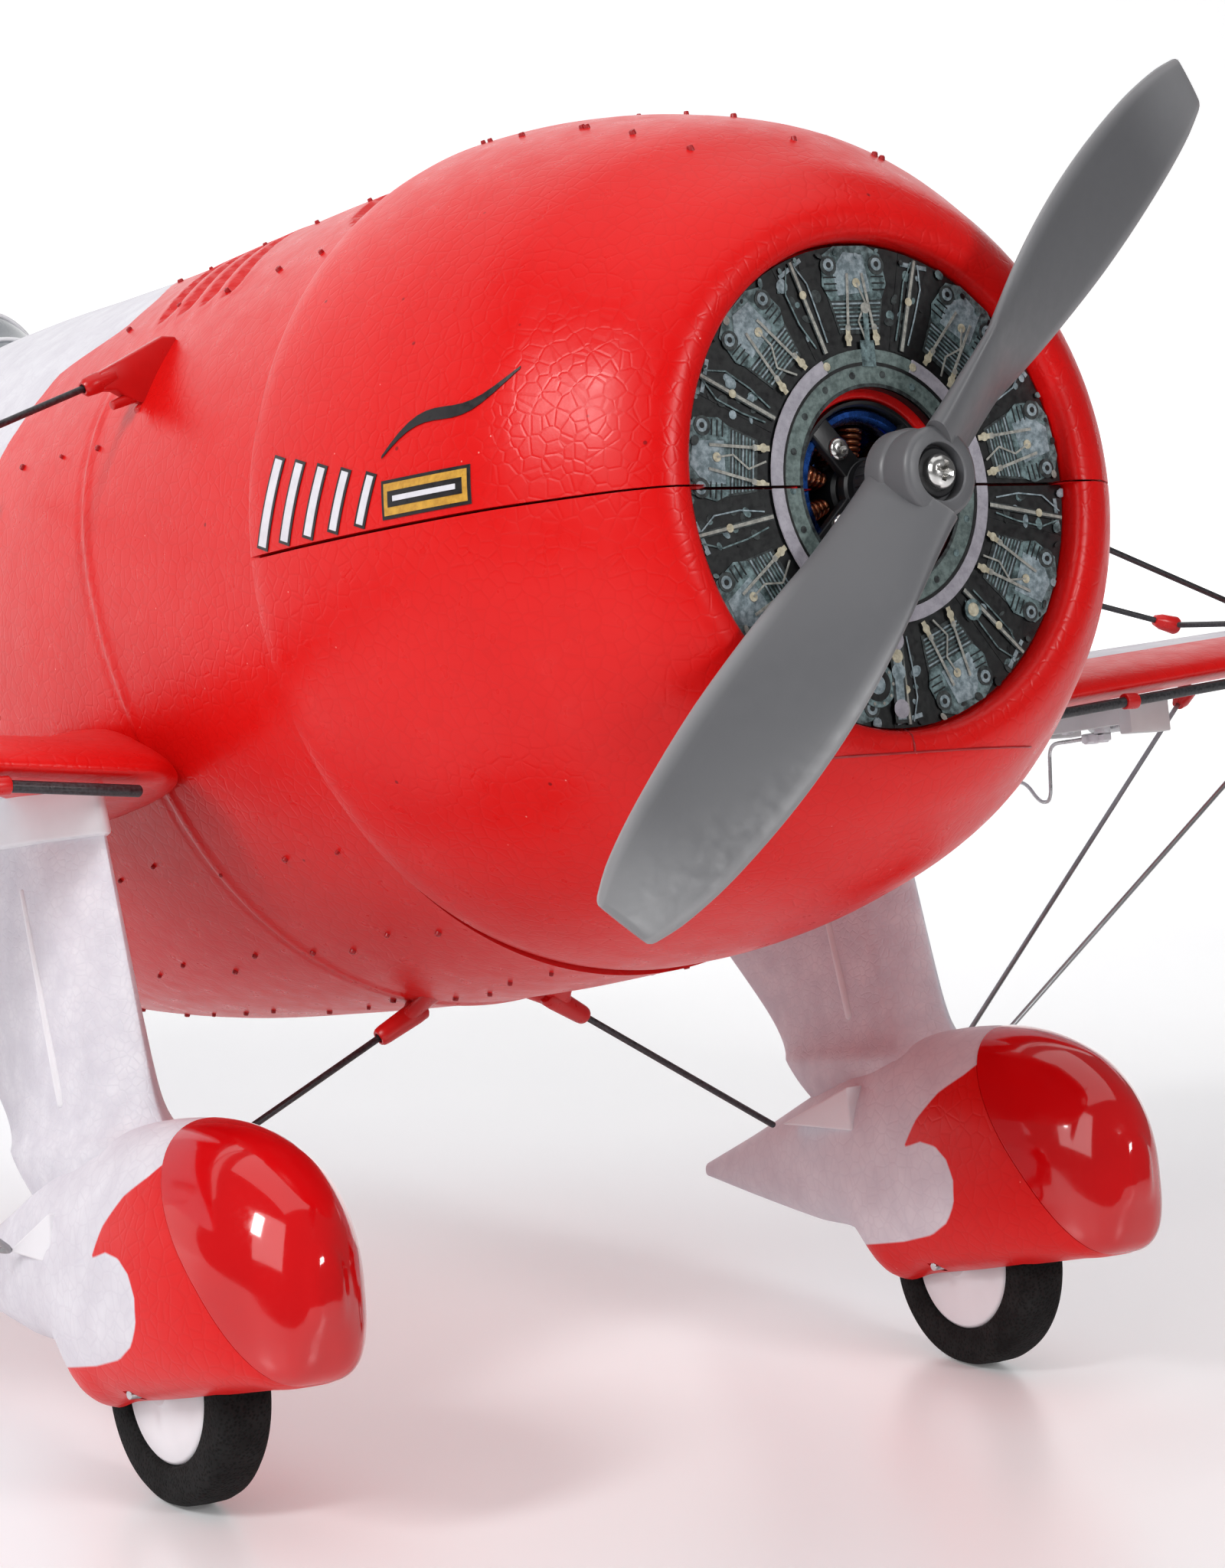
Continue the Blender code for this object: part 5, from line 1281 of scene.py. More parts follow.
TRACK_X, WHEEL_Y, WHEEL_Z = 61.0, 76.5, -94.8
TYRE_RADIUS, TYRE_WIDTH, DISC_RADIUS = 13.9, 7.1, 8.9
WELL_RADIUS, WELL_HALF_WIDTH = 15.2, 4.8
PANT_STATIONS = ((43.6, 2.4, -78.5, -87.5), (45.0, 4.9, -74.6, -92.2), (48, 7.5, -70.9, -94.1),
                 (53, 9.8, -67.4, -94.5), (61, 11.4, -64.6, -95.1), (70, 11.9, -63.7, -95.8),
                 (80, 11.5, -64.2, -96.4), (87, 10.7, -65.5, -97.0), (93, 9.8, -67.0, -91.2),
                 (105, 7.2, -71.0, -89.0), (120, 4.0, -76.2, -85.8), (134, 1.0, -80.6, -82.6))
NOSE_CUT_TOP, NOSE_CUT_BOTTOM = (66.0, -64.0), (48.0, -93.0)
PANT_RED = ((30, -50), (60.5, -60), (60.0, -64.6), (62.0, -67.4), (65.0, -69.6), (69.0, -71.6), (73.0, -75.0),
            (75.6, -78.6), (72.0, -77.9), (69.0, -78.6), (67.0, -80.4), (66.1, -83.0), (66.6, -86.2),
            (68.6, -88.6), (72.5, -90.3), (79.0, -91.2), (87.0, -91.6), (92.0, -92.0), (96, -104), (30, -104))


def region_distance(a, b, outline):
    """Signed distance in mm from (a, b) to a closed outline: positive inside."""
    best, inside = 1e9, False
    for (x0, y0), (x1, y1) in zip(outline, outline[1:] + outline[:1]):
        d, _ = segment_distance((a, b), (x0, y0), (x1, y1))
        best = min(best, d)
        if (y0 > b) != (y1 > b) and a < (x1 - x0) * (b - y0) / (y1 - y0) + x0:
            inside = not inside
    return best if inside else -best


def pant_paint(p):
    return min(max(0.5 + region_distance(p.y, p.z, PANT_RED) / 3.0, 0.0), 1.0)


def pant_ring(side, y, grow=0.0, count=96):
    w, top, bottom = smooth_table(PANT_STATIONS, y)
    w, top, bottom = w + grow, top + grow, bottom - grow
    waist = bottom + 0.48 * (top - bottom)
    ring = []
    for k in range(count):
        turn = 2 * math.pi * k / count
        c, s = math.cos(turn), math.sin(turn)
        power = 2 / (2.1 if s >= 0 else 3.2)
        height = top - waist if s >= 0 else waist - bottom
        ring.append((side * TRACK_X + w * math.copysign(abs(c) ** power, c), y,
                     waist + height * math.copysign(abs(s) ** power, s)))
    return ring


def pant_skin(side, grow=0.0, count=96, step_mm=1.0):
    rings = []
    _, top, bottom = PANT_STATIONS[0][1:]
    middle = (top + bottom) / 2
    for share, y in ((0.25, 43.02), (0.55, 43.12), (0.82, 43.32)):
        ring = pant_ring(side, 43.6, grow, count)
        rings.append([(side * TRACK_X + (x - side * TRACK_X) * share, y - grow, middle + (z - middle) * share)
                      for x, _, z in ring])
    ys = [43.6, 44.0, 44.5, 45.2, 46.0, 47.0] + spaced(48, 133, step_mm) + [134.0]
    rings += [pant_ring(side, y, grow, count) for y in ys]
    return grid_loft(rings)


def wheel_well(side):
    x = side * TRACK_X
    return revolve_bm([(0.0, -WELL_HALF_WIDTH), (WELL_RADIUS - 0.6, -WELL_HALF_WIDTH),
                       (WELL_RADIUS, -WELL_HALF_WIDTH + 0.6), (WELL_RADIUS, WELL_HALF_WIDTH - 0.6),
                       (WELL_RADIUS - 0.6, WELL_HALF_WIDTH), (0.0, WELL_HALF_WIDTH)],
                      (x, WHEEL_Y, WHEEL_Z), (1, 0, 0), 96)


def nose_block(side, shift):
    """Everything in front of the slanted seam of the pant."""
    (y0, z0), (y1, z1) = NOSE_CUT_TOP, NOSE_CUT_BOTTOM
    slope = (y0 - y1) / (z0 - z1)
    high, low = -40, -120
    outline = [(y0 + slope * (high - z0) + shift, high), (y0 + slope * (low - z0) + shift, low), (-20, low),
               (-20, high)]
    x = side * TRACK_X
    return grid_loft([[(x - 30, y, z) for y, z in outline], [(x + 30, y, z) for y, z in outline]])


def make_pant(name, side):
    x = side * TRACK_X
    axle_hole = cylinder_bm((x - 8.3, WHEEL_Y, WHEEL_Z), (x + 8.3, WHEEL_Y, WHEEL_Z), 0.9, sides=20)
    mesh = boolean(pant_skin(side), ("DIFFERENCE", wheel_well(side)), ("DIFFERENCE", axle_hole),
                   ("DIFFERENCE", nose_block(side, 0.12)))
    paint_values(mesh, pant_paint)
    piece(f"pant_shell_{name}", mesh, "airframe", "pant_foam", [f"wheel_pant_{name}"], 35)
    mesh = boolean(pant_skin(side, 0.12), ("INTERSECT", nose_block(side, -0.12)),
                   ("DIFFERENCE", pant_skin(side, -1.2, 64, 2.0)), ("DIFFERENCE", wheel_well(side)))
    piece(f"pant_cap_{name}", mesh, "airframe", "red_gloss", [f"pant_nose_{name}"], 35)
    # the anchor wedges of the belly wire and of the lower wires
    wedges = bmesh.new()
    for near, far in ((51.0 - 0.4, 51.0 + 3.5), (71.0 + 0.2, 71.0 - 3.5)):
        y_back, z_back = (103, -74.9) if near < TRACK_X else (99, -77.9)
        top, low = (-70.2, -76.2) if near < TRACK_X else (-73.4, -79.6)
        own = grid_loft([[(side * near, 88, top), (side * near, y_back, z_back), (side * near, 88, low)],
                         [(side * far, 88, top), (side * far, y_back + 2, z_back), (side * far, 88, low)]])
        own_mesh = bake(own, ("BEVEL", {"width": 0.35, "segments": 3, "limit_method": "ANGLE"}))
        wedges.from_mesh(own_mesh)
        bpy.data.meshes.remove(own_mesh)
    wedge_mesh = bake(wedges)
    piece(f"wire_wedge_{name}", wedge_mesh, "airframe", "white_plastic", (), 35)


def leg_edges(z):
    t = (z + 27) / (-63.5 + 27)
    back = smooth_table(((-76, 100), (-72, 105.4), (-68.9, 108.7), (-60, 115.5), (-51.3, 123.4), (-40, 134),
                         (-27, 147), (-18, 152)), z)[0]
    return 85 - 7 * t, back


def leg_half(along):
    """Half the leg's thickness at a share of its chord."""
    return 4.6 * min(1.0, (along * 6) ** 0.5) * (1 - 0.62 * along ** 2)


def leg_ring(side, z, count=88, grow=0.0):
    front, back = leg_edges(z)
    flare = 3.2 * math.exp(-(z + 66.5) / 2.2) if z > -66.5 else 3.2
    front, back = front - flare - grow, back + flare * 0.15 + grow
    ring = []
    for k in range(count):
        turn = 2 * math.pi * k / count
        along = (1 - math.cos(turn)) / 2
        half = leg_half(along) + flare * 0.8 * min(1, along * 8) + grow
        across = math.copysign(abs(math.sin(turn)) ** 0.35, math.sin(turn)) * half
        groove = -0.3 * (1 - step(0.2, 0.6, abs(front + (back - front) * along - (front + 7.0))))
        across += math.copysign(groove * 0.6, across) if 0.02 < along < 0.98 else 0.0
        ring.append((side * TRACK_X + (across if 0 < along < 1 else 0.0),
                     front + (back - front) * along, z))
    return ring


LEG_RIDGE = 15.0  # mm behind the leg's front edge


def make_leg(name, side):
    rings = [leg_ring(side, z) for z in spaced(-74.5, -19.5, 0.9)]
    pocket = grid_loft([wing_ring_plain(side, at, 0.05) for at in (44, 52, 60, 70, 80)])
    mesh = boolean(grid_loft(rings), ("DIFFERENCE", pocket), ("DIFFERENCE", pant_skin(side, -0.5, 64, 2.0)))
    piece(f"leg_foam_{name}", mesh, "airframe", "white_foam", [f"gear_leg_{name}"], 35)
    ridges = bmesh.new()
    for flank in (1, -1):
        path = []
        for z in spaced(-35.0, -61.0, 2.0):
            front, back = leg_edges(z)
            half = leg_half(LEG_RIDGE / (back - front))
            path.append((side * TRACK_X + flank * (half - 0.3), front + LEG_RIDGE, z))
        tube_bm(path, 0.85, 12, ridges, lambda t: 0.5 + 0.5 * t)
    piece(f"leg_ridge_{name}", ridges, "airframe", "white_plastic", (), 60)
    cuff = []
    for z, grow in ((-29.6, 0.05), (-29.3, 0.5), (-29.0, 0.62), (-24, 0.62), (-20, 0.62)):
        cuff.append(leg_ring_plain(side, z, grow))
    pocket = grid_loft([wing_ring_plain(side, at, 0.03) for at in (44, 52, 60, 70, 80)])
    mesh = boolean(grid_loft(cuff), ("DIFFERENCE", pocket))
    piece(f"leg_cuff_{name}", mesh, "airframe", "white_plastic", (), 35)


def leg_ring_plain(side, z, grow, count=88):
    front, back = leg_edges(z)
    front, back = front - grow, back + grow
    ring = []
    for k in range(count):
        turn = 2 * math.pi * k / count
        along = (1 - math.cos(turn)) / 2
        half = leg_half(along) + grow
        across = math.copysign(abs(math.sin(turn)) ** 0.35, math.sin(turn)) * half
        ring.append((side * TRACK_X + (across if 0 < along < 1 else 0.0), front + (back - front) * along, z))
    return ring


def wing_ring_plain(side, x, grow, steps=30):
    front, back = wing_plan(x)
    upper, lower = [], []
    for k in range(steps + 1):
        share = (1 - math.cos(math.pi * k / steps)) / 2
        y = front - 3 + (back - front + 6) * share
        upper.append((side * x, y, wing_surface(x, share, True) + 14))
        if 0 < k:
            lower.append((side * x, y, wing_surface(x, share, False) - grow))
    return list(reversed(upper)) + lower


def make_wheel(name, side):
    wheel = (side * TRACK_X, WHEEL_Y, WHEEL_Z)
    half = TYRE_WIDTH / 2
    tread = [(DISC_RADIUS + 0.1, -half + 0.5), (DISC_RADIUS + 0.5, -half + 0.1), (TYRE_RADIUS - 2.6, -half),
             (TYRE_RADIUS - 1.0, -half + 0.1), (TYRE_RADIUS - 0.35, -half + 0.7),
             (TYRE_RADIUS - 0.08, -half + 1.5),
             (TYRE_RADIUS, 0), (TYRE_RADIUS - 0.08, half - 1.5), (TYRE_RADIUS - 0.35, half - 0.7),
             (TYRE_RADIUS - 1.0, half - 0.1), (TYRE_RADIUS - 2.6, half), (DISC_RADIUS + 0.5, half - 0.1),
             (DISC_RADIUS + 0.1, half - 0.5)]
    bm = revolve_bm(tread, wheel, (1, 0, 0), 160, closed=True)
    piece(f"tyre_foam_{name}", bm, f"wheel_{name}", "tyre", [f"tyre_{name}"], 50)
    disc = [(0.72, -half - 0.6), (1.8, -half - 0.6), (2.1, -half - 0.2), (3.0, -half + 0.05),
            (6.4, -half + 0.55), (DISC_RADIUS - 0.5, -half + 0.35), (DISC_RADIUS, -half + 0.8),
            (DISC_RADIUS, half - 0.8), (DISC_RADIUS - 0.5, half - 0.35), (6.4, half - 0.55),
            (3.0, half - 0.05), (2.1, half + 0.2), (1.8, half + 0.6), (0.72, half + 0.6)]
    bm = revolve_bm(disc, wheel, (1, 0, 0), 96, closed=True)
    piece(f"wheel_hub_{name}", bm, f"wheel_{name}", "white_plastic",
          [f"wheel_disc_{name}"], 50)
    axle = cylinder_bm((wheel[0] - 8, WHEEL_Y, WHEEL_Z), (wheel[0] + 8, WHEEL_Y, WHEEL_Z), 0.6, sides=24,
                       bevel=0.15)
    piece(f"axle_pin_{name}", axle, "airframe", "steel", [f"axle_{name}"])


# ---------------------------------------------------------------- decals, seams and mould nubs

def on_flank(side, y, z, lift=0.0):
    """The point of the fuselage skin at y and height z, on one side, raised by lift."""
    _, top, bottom = body_size(y)
    share = math.asin(max(-1.0, min(1.0, z / (top if z >= 0 else -bottom))))
    turn = share if side > 0 else math.pi - share
    return skin_point(y, turn, lift + relief(y, turn))


def decal_patch(bm, side, corners, lift, ink, across=6, along=10, thick=0.06):
    """A thin film patch between four (y, z) corners, laid over the skin."""
    sheets = []
    for level in (lift, lift - thick):
        rows = []
        for i in range(across + 1):
            u = i / across
            row = []
            for j in range(along + 1):
                v = j / along
                y, z = ((corners[0][k] * (1 - u) + corners[1][k] * u) * (1 - v)
                        + (corners[3][k] * (1 - u) + corners[2][k] * u) * v for k in (0, 1))
                row.append(bm.verts.new(on_flank(side, y, z, level)))
            rows.append(row)
        sheets.append(rows)
    faces = []
    for rows in sheets:
        for a, b in zip(rows, rows[1:]):
            for j in range(along):
                faces.append(bm.faces.new((a[j], a[j + 1], b[j + 1], b[j])))
    rims = []
    for rows in sheets:
        rims.append(rows[0][:-1] + [r[-1] for r in rows[:-1]] + rows[-1][:0:-1] + [r[0] for r in rows[:0:-1]])
    count = len(rims[0])
    for k in range(count):
        j = (k + 1) % count
        faces.append(bm.faces.new((rims[0][k], rims[0][j], rims[1][j], rims[1][k])))
    bmesh.ops.recalc_face_normals(bm, faces=faces)
    for face in faces:
        face.material_index = ink


def decal_bar(bm, side, start, end, width, rim=0.35):
    """A white bar with a black edge, from one (y, z) point to another."""
    dy, dz = end[0] - start[0], end[1] - start[1]
    size = math.hypot(dy, dz)
    ty, tz = dy / size, dz / size
    for grow, lift, ink in ((rim, 0.12, 1), (0.0, 0.18, 0)):
        half = width / 2 + grow
        a = (start[0] - ty * grow, start[1] - tz * grow)
        b = (end[0] + ty * grow, end[1] + tz * grow)
        corners = [(a[0] - tz * half, a[1] + ty * half), (a[0] + tz * half, a[1] - ty * half),
                   (b[0] + tz * half, b[1] - ty * half), (b[0] - tz * half, b[1] + ty * half)]
        decal_patch(bm, side, corners, lift, ink, 3, 9)


def make_decals(name, side):
    """Plain racing marks on the cowl: a row of slanted stripes, a gold panel and a sweep."""
    bm = bmesh.new()
    for k in range(5):
        low = 57.2 - 4.4 * k
        top = 10.6 - 1.1 * k
        decal_bar(bm, side, (low, 1.0), (low - top * 0.32, top), 1.5 - 0.12 * k)
    decal_patch(bm, side, [(36.0, 0.9), (36.0, 5.3), (23.6, 5.3), (23.6, 0.9)], 0.12, 1, 5, 12)
    decal_patch(bm, side, [(35.6, 1.3), (35.6, 4.9), (24.0, 4.9), (24.0, 1.3)], 0.18, 2, 5, 12)
    decal_patch(bm, side, [(35.0, 2.2), (35.0, 4.0), (24.6, 4.0), (24.6, 2.2)], 0.24, 1, 4, 12)
    decal_patch(bm, side, [(34.2, 2.8), (34.2, 3.4), (25.4, 3.4), (25.4, 2.8)], 0.30, 0, 3, 12)
    steps = 14
    for k in range(steps):
        t0, t1 = k / steps, (k + 1) / steps
        a = (36.0 - 17.0 * t0, 8.0 + 7.2 * t0 + 1.3 * math.sin(t0 * math.pi * 2))
        b = (36.0 - 17.0 * t1, 8.0 + 7.2 * t1 + 1.3 * math.sin(t1 * math.pi * 2))
        thin0, thin1 = 0.15 + 0.55 * math.sin(math.pi * t0), 0.15 + 0.55 * math.sin(math.pi * t1)
        decal_patch(bm, side, [(a[0], a[1] - thin0), (a[0], a[1] + thin0), (b[0], b[1] + thin1),
                               (b[0], b[1] - thin1)], 0.15, 1, 2, 2)
    piece(f"cowl_decals_{name}", bm, "hatch", ["decal_white", "decal_black", "decal_gold"],
          (), 25)


def nub(bm, place, outward, size):
    """The stub a moulding vent leaves on foam: a low peg with a rounded, slightly sunken top."""
    profile = [(0.0, -0.3), (size, -0.3), (size * 0.95, 0.22), (size * 0.8, 0.4), (size * 0.45, 0.42),
               (size * 0.2, 0.32), (0.0, 0.3)]
    revolve_bm(profile, place, outward, 14, bm)


# (angle up from the side, first y, last y, pitch) of each row of nubs behind the cowl
BODY_NUB_ROWS = ((48, 66, 190, 12), (66, 64, 200, 12), (80, 64, 200, 13), (-38, 68, 150, 13),
                 (-58, 66, 160, 11), (-78, 64, 170, 10), (24, 104, 170, 14))


def make_nubs():
    """Rows of mould nubs along the shoulders, the flanks and the belly."""
    rnd = random.Random(5)
    hatch_nubs, body_nubs = bmesh.new(), bmesh.new()
    for side in (1, -1):
        for degrees in (72, 90, 108):
            for y in spaced(18, 56, 9.5):
                if degrees == 90 and side < 0:
                    continue
                turn = math.radians(degrees if side > 0 else 180 - degrees) + rnd.uniform(-0.02, 0.02)
                place = skin_point(y + rnd.uniform(-1, 1), turn)
                nub(hatch_nubs, place, Vector((place.x, 0, place.z)), rnd.uniform(0.32, 0.45))
        for degrees, low, high, pitch in BODY_NUB_ROWS:
            for y in spaced(low, high, pitch):
                turn = math.radians(degrees if side > 0 else 180 - degrees) + rnd.uniform(-0.04, 0.04)
                at = y + rnd.uniform(-2.5, 2.5)
                if body_paint(skin_point(at, turn)) < 0.6:
                    continue
                place = skin_point(at, turn)
                nub(body_nubs, place, Vector((place.x, 0, place.z)), rnd.uniform(0.28, 0.46))
    piece("cowl_mould_nubs", hatch_nubs, "hatch", "dark_nub", (), 45)
    piece("body_mould_nubs", body_nubs, "airframe", "dark_nub", (), 45)
    marks = bmesh.new()
    # the parting line under the opening and the notch in the lip
    path = []
    for x in spaced(-20, 20, 1.0):
        z = -30.5
        radius = math.hypot(x, z)
        low_y, high_y = LIP_Y, 40.0
        for _ in range(30):
            middle = (low_y + high_y) / 2
            if smooth_table(COWL_PROFILE, middle)[0] < radius:
                low_y = middle
            else:
                high_y = middle
        path.append((x, max(low_y, LIP_Y) - 0.02, z))
    tube_bm(path, 0.14, 8, marks)
    notch = [(-0.8, 7.2, -OPENING_RADIUS + 0.02), (-0.8, 6.1, -28.5), (-0.8, LIP_Y, -29.6),
             (-0.8, LIP_Y, -30.4)]
    tube_bm(notch, 0.16, 8, marks)
    piece("cowl_parting_lines", marks, "airframe", "dark_nub", (), 45)


for side_name, side_sign in SIDES:
    make_decals(side_name, side_sign)
make_nubs()


# ---------------------------------------------------------------- rigging

BELLY_ROOT, BELLY_FEET = (8.6, 98.5, -52.6), ((-1.5, 2.5, 0.4), (1.0, -3.5, 0.6))
BELLY_TIP, PANT_ANCHOR = (15.3, 98.5, -56.7), (50.3, 104.5, -74.9)
SHOULDER_TIP, UPPER_ANCHOR = (49.7, 96.0, 26.9), (147.0, 94.0, -9.2)
UPPER_REAR, FLANK = (147.0, 116.0, -6.8), (50.2, 130.0, 20.0)
LOWER_ANCHORS = ((150.0, 88.0, -17.4), (150.0, 118.5, -17.6))
LOWER_FEET = ((71.2, 98.0, -77.8), (71.2, 101.2, -77.8))
WIRE_RADIUS = 0.45


def mirrored(point, side):
    return Vector((side * point[0], point[1], point[2]))


def lug(name, side, root, tip, toward, foot, node):
    """A moulded Y-shaped lug: a barrel on the wire, a web down to the foam and a foot plate."""
    root, tip, toward = mirrored(root, side), mirrored(tip, side), mirrored(toward, side)
    along = (toward - tip).normalized()
    bm = bmesh.new()
    start = tip - along * 6.4
    revolve_bm([(0.0, 0.0), (1.15, 0.0), (1.45, 0.3), (1.5, 1.6), (1.3, 6.6), (1.2, 7.2), (1.0, 7.5),
                (0.7, 7.5), (0.6, 5.0), (0.0, 5.0)], start, along, 40, bm)
    for k in range(2):
        low = root + mirrored(foot[k], side)
        rings = []
        for t, wide, thick in ((0.0, 1.2, 1.1), (0.35, 1.5, 1.0), (0.75, 2.2, 1.0), (1.0, 3.2, 1.2)):
            centre = (start + along * 3.0) * (1 - t) + low * t
            line = (low - start - along * 3.0).normalized()
            side_axis = line.cross(along)
            side_axis = side_axis.normalized() if side_axis.length > 1e-3 else line.orthogonal().normalized()
            across = side_axis.cross(line).normalized()
            rings.append([centre + across * wide * math.cos(a) + side_axis * thick * math.sin(a)
                          for a in (2 * math.pi * j / 20 for j in range(20))])
        grid_loft(rings, bm=bm)
    piece(name, bm, "airframe", "red_moulded", [node], 45)


def shoulder_lug(name, tip, towards):
    """A flat wedge-shaped plate on the wire's line, tallest against the foam, with two short pegs below."""
    up = Vector((0, 0, 1))
    up = (up - towards * up.dot(towards)).normalized()
    across = towards.cross(up)

    def spot(inward, high, sideways=0.0):
        return tip - towards * inward + up * high + across * sideways
    outline = ((0.0, 1.1), (4.0, 1.5), (10.8, 2.2), (12.6, 1.5), (12.4, -2.0), (9.4, -4.8), (5.9, -5.4),
               (3.2, -3.4), (1.6, -1.7), (0.0, -1.1))
    plate = grid_loft([[spot(s, t, -1.0) for s, t in outline], [spot(s, t, 1.0) for s, t in outline]])
    mesh = bake(plate, ("BEVEL", {"width": 0.28, "segments": 3, "limit_method": "ANGLE"}))
    bm = bmesh.new()
    bm.from_mesh(mesh)
    bpy.data.meshes.remove(mesh)
    revolve_bm([(0.0, -2.6), (0.7, -2.6), (1.15, -2.3), (1.3, 0.4), (1.15, 1.9), (0.8, 2.3), (0.6, 2.3),
                (0.55, 0.0), (0.0, 0.0)], tip, towards, 36, bm)
    cylinder_bm(spot(5.0, -3.4), spot(0.6, -3.3), 0.8, 0.6, 20, bm, 0.2)
    cylinder_bm(spot(8.0, -4.4), spot(3.6, -5.2), 0.8, 0.6, 20, bm, 0.2)
    piece(f"shoulder_lug_{name}", bm, "airframe", "red_moulded",
          [f"shoulder_bracket_{name}"], 40)


def make_rigging(name, side):
    lug(f"belly_lug_{name}", side, BELLY_ROOT, BELLY_TIP, PANT_ANCHOR, BELLY_FEET, f"belly_bracket_{name}")
    start, end = mirrored(BELLY_TIP, side), mirrored(PANT_ANCHOR, side)
    towards = (end - start).normalized()
    rod = tube_bm([start - towards * 2.4, start.lerp(end, 0.5), end], WIRE_RADIUS)
    piece(f"belly_rod_{name}", rod, "airframe", "carbon", [f"belly_wire_{name}"], 60)
    start, anchor = mirrored(SHOULDER_TIP, side), mirrored(UPPER_ANCHOR, side)
    towards = (anchor - start).normalized()
    shoulder_lug(name, start, towards)
    path = [start - towards * 2.4, anchor, mirrored(UPPER_REAR, side), mirrored(FLANK, side)]
    piece(f"upper_rod_{name}", tube_bm(rounded_path(path), WIRE_RADIUS), "airframe", "carbon",
          [f"upper_wire_{name}"], 60)
    front, rear = (mirrored(p, side) for p in LOWER_ANCHORS)
    feet = [mirrored(p, side) for p in LOWER_FEET]
    bm = tube_bm(rounded_path([front, feet[0], feet[1], rear], 1.2), 0.38)
    piece(f"lower_rod_{name}", bm, "airframe", "wire", [f"lower_wire_{name}"], 60)
    sockets = bmesh.new()
    for p, q in ((front, feet[0]), (rear, feet[1])):
        line = (q - p).normalized()
        revolve_bm([(0.0, -1.6), (1.3, -1.6), (1.5, -1.2), (1.35, 1.2), (0.9, 2.4), (0.0, 2.4)], p, line, 28,
                   sockets)
    for p, q in ((anchor, start), (mirrored(UPPER_REAR, side), mirrored(FLANK, side))):
        line = (q - p).normalized()
        revolve_bm([(0.0, -1.4), (1.2, -1.4), (1.4, -1.0), (1.2, 1.6), (0.8, 2.8), (0.0, 2.8)],
                   p + line * 0.8, line, 28, sockets)
    piece(f"wing_sockets_{name}", sockets, "airframe", "red_moulded", (), 45)


# ---------------------------------------------------------------- tail and canopy

def make_canopy():
    table = ((206, 7.5, 51.0), (212, 10.5, 54.5), (219, 12.0, 59.4), (228, 12.4, 63.0), (238, 11.6, 64.2),
             (247, 9.4, 63.2), (253.6, 7.0, 62.2))

    def ring(y, grow=0.0, count=72):
        w, top = smooth_table(table, y)
        w, top = w + grow, top + grow
        points = []
        for k in range(count):
            t = 2 * math.pi * k / count
            c, s = math.cos(t), math.sin(t)
            height = (top - 40.0) if s >= 0 else 10.0
            points.append((w * math.copysign(abs(c) ** (2 / 2.3), c), y,
                           40.0 + height * math.copysign(abs(s) ** (2 / 2.3), s)))
        return points
    envelope = grid_loft([[tuple(skin_point(y, 2 * math.pi * k / 72, -0.4)) for k in range(72)]
                          for y in spaced(180, 280, 5)])
    mesh = boolean(grid_loft([ring(y) for y in spaced(206, 253.6, 1.2)]), ("DIFFERENCE", envelope))
    piece("canopy_glass", mesh, "airframe", "canopy", ["canopy"], 35)
    frame_bm = bmesh.new()
    for y in (210.5, 219.0, 234.0, 252.6):
        points = [Vector(p) for p in ring(y, 0.12)]
        arch = [p for p in points if p.z > skin_height(p.y, p.x) - 0.6]
        arch.sort(key=lambda p: math.atan2(p.z - 38, p.x))
        tube_bm(arch, 0.42, 10, frame_bm)
    piece("canopy_frames", frame_bm, "airframe", "white_plastic", ["canopy"], 60)


def skin_height(y, x):
    w, top, _ = body_size(y)
    share = min(abs(x) / w, 1.0)
    return top * math.sqrt(1 - share * share)


def fin_ring(z, front, back, half, nose_steps=10, run=8):
    ring = []
    taper = min(28.0, (back - front) * 0.6)
    side = []
    for k in range(nose_steps + 1):
        turn = math.pi / 2 * k / nose_steps
        side.append((half * math.cos(turn), front + taper * (1 - math.sin(turn))))
    for k in range(run):
        ring.append((half, back - (back - front - taper) * k / run, z))
    ring += [(x, y, z) for x, y in side]
    ring += [(-x, y, z) for x, y in reversed(side[:-1])]
    for k in range(run - 1, -1, -1):
        ring.append((-half, back - (back - front - taper) * k / run, z))
    return ring


def make_fin():
    back = RUDDER_HINGE_Y - 2.8
    heights = ((8, 254, 3.6), (30, 254, 3.4), (50, 254, 3.0), (60, 254.4, 2.6), (63.5, 262, 2.3),
               (65.4, 280, 2.1), (66.2, 300, 1.7))
    rings = []
    for z in spaced(8, 66.2, 1.4):
        y, half = smooth_table(heights, z)
        flare = 2.4 * math.exp(-max(z - skin_height(275, 0), 0) / 2.2)
        rings.append(fin_ring(z, y, back, half + flare * 0.5))
    rings.append([(x * 0.55, y + (2 if y < 290 else 0), 66.6) for x, y, _ in rings[-1]])
    envelope = grid_loft([[tuple(skin_point(y, 2 * math.pi * k / 96, -0.8)) for k in range(96)]
                          for y in spaced(240, 314.8, 3)])
    mesh = boolean(grid_loft(rings), ("DIFFERENCE", envelope))
    piece("fin_panel", mesh, "airframe", "tail_foam", ["fin"], 40)


def stab_front(x):
    table = ((0, 262.0), (20, 263.0), (60, 270.0), (80, 277.0), (88, 286.0), (90, 296.0))
    return smooth_table(table, abs(x))[0]


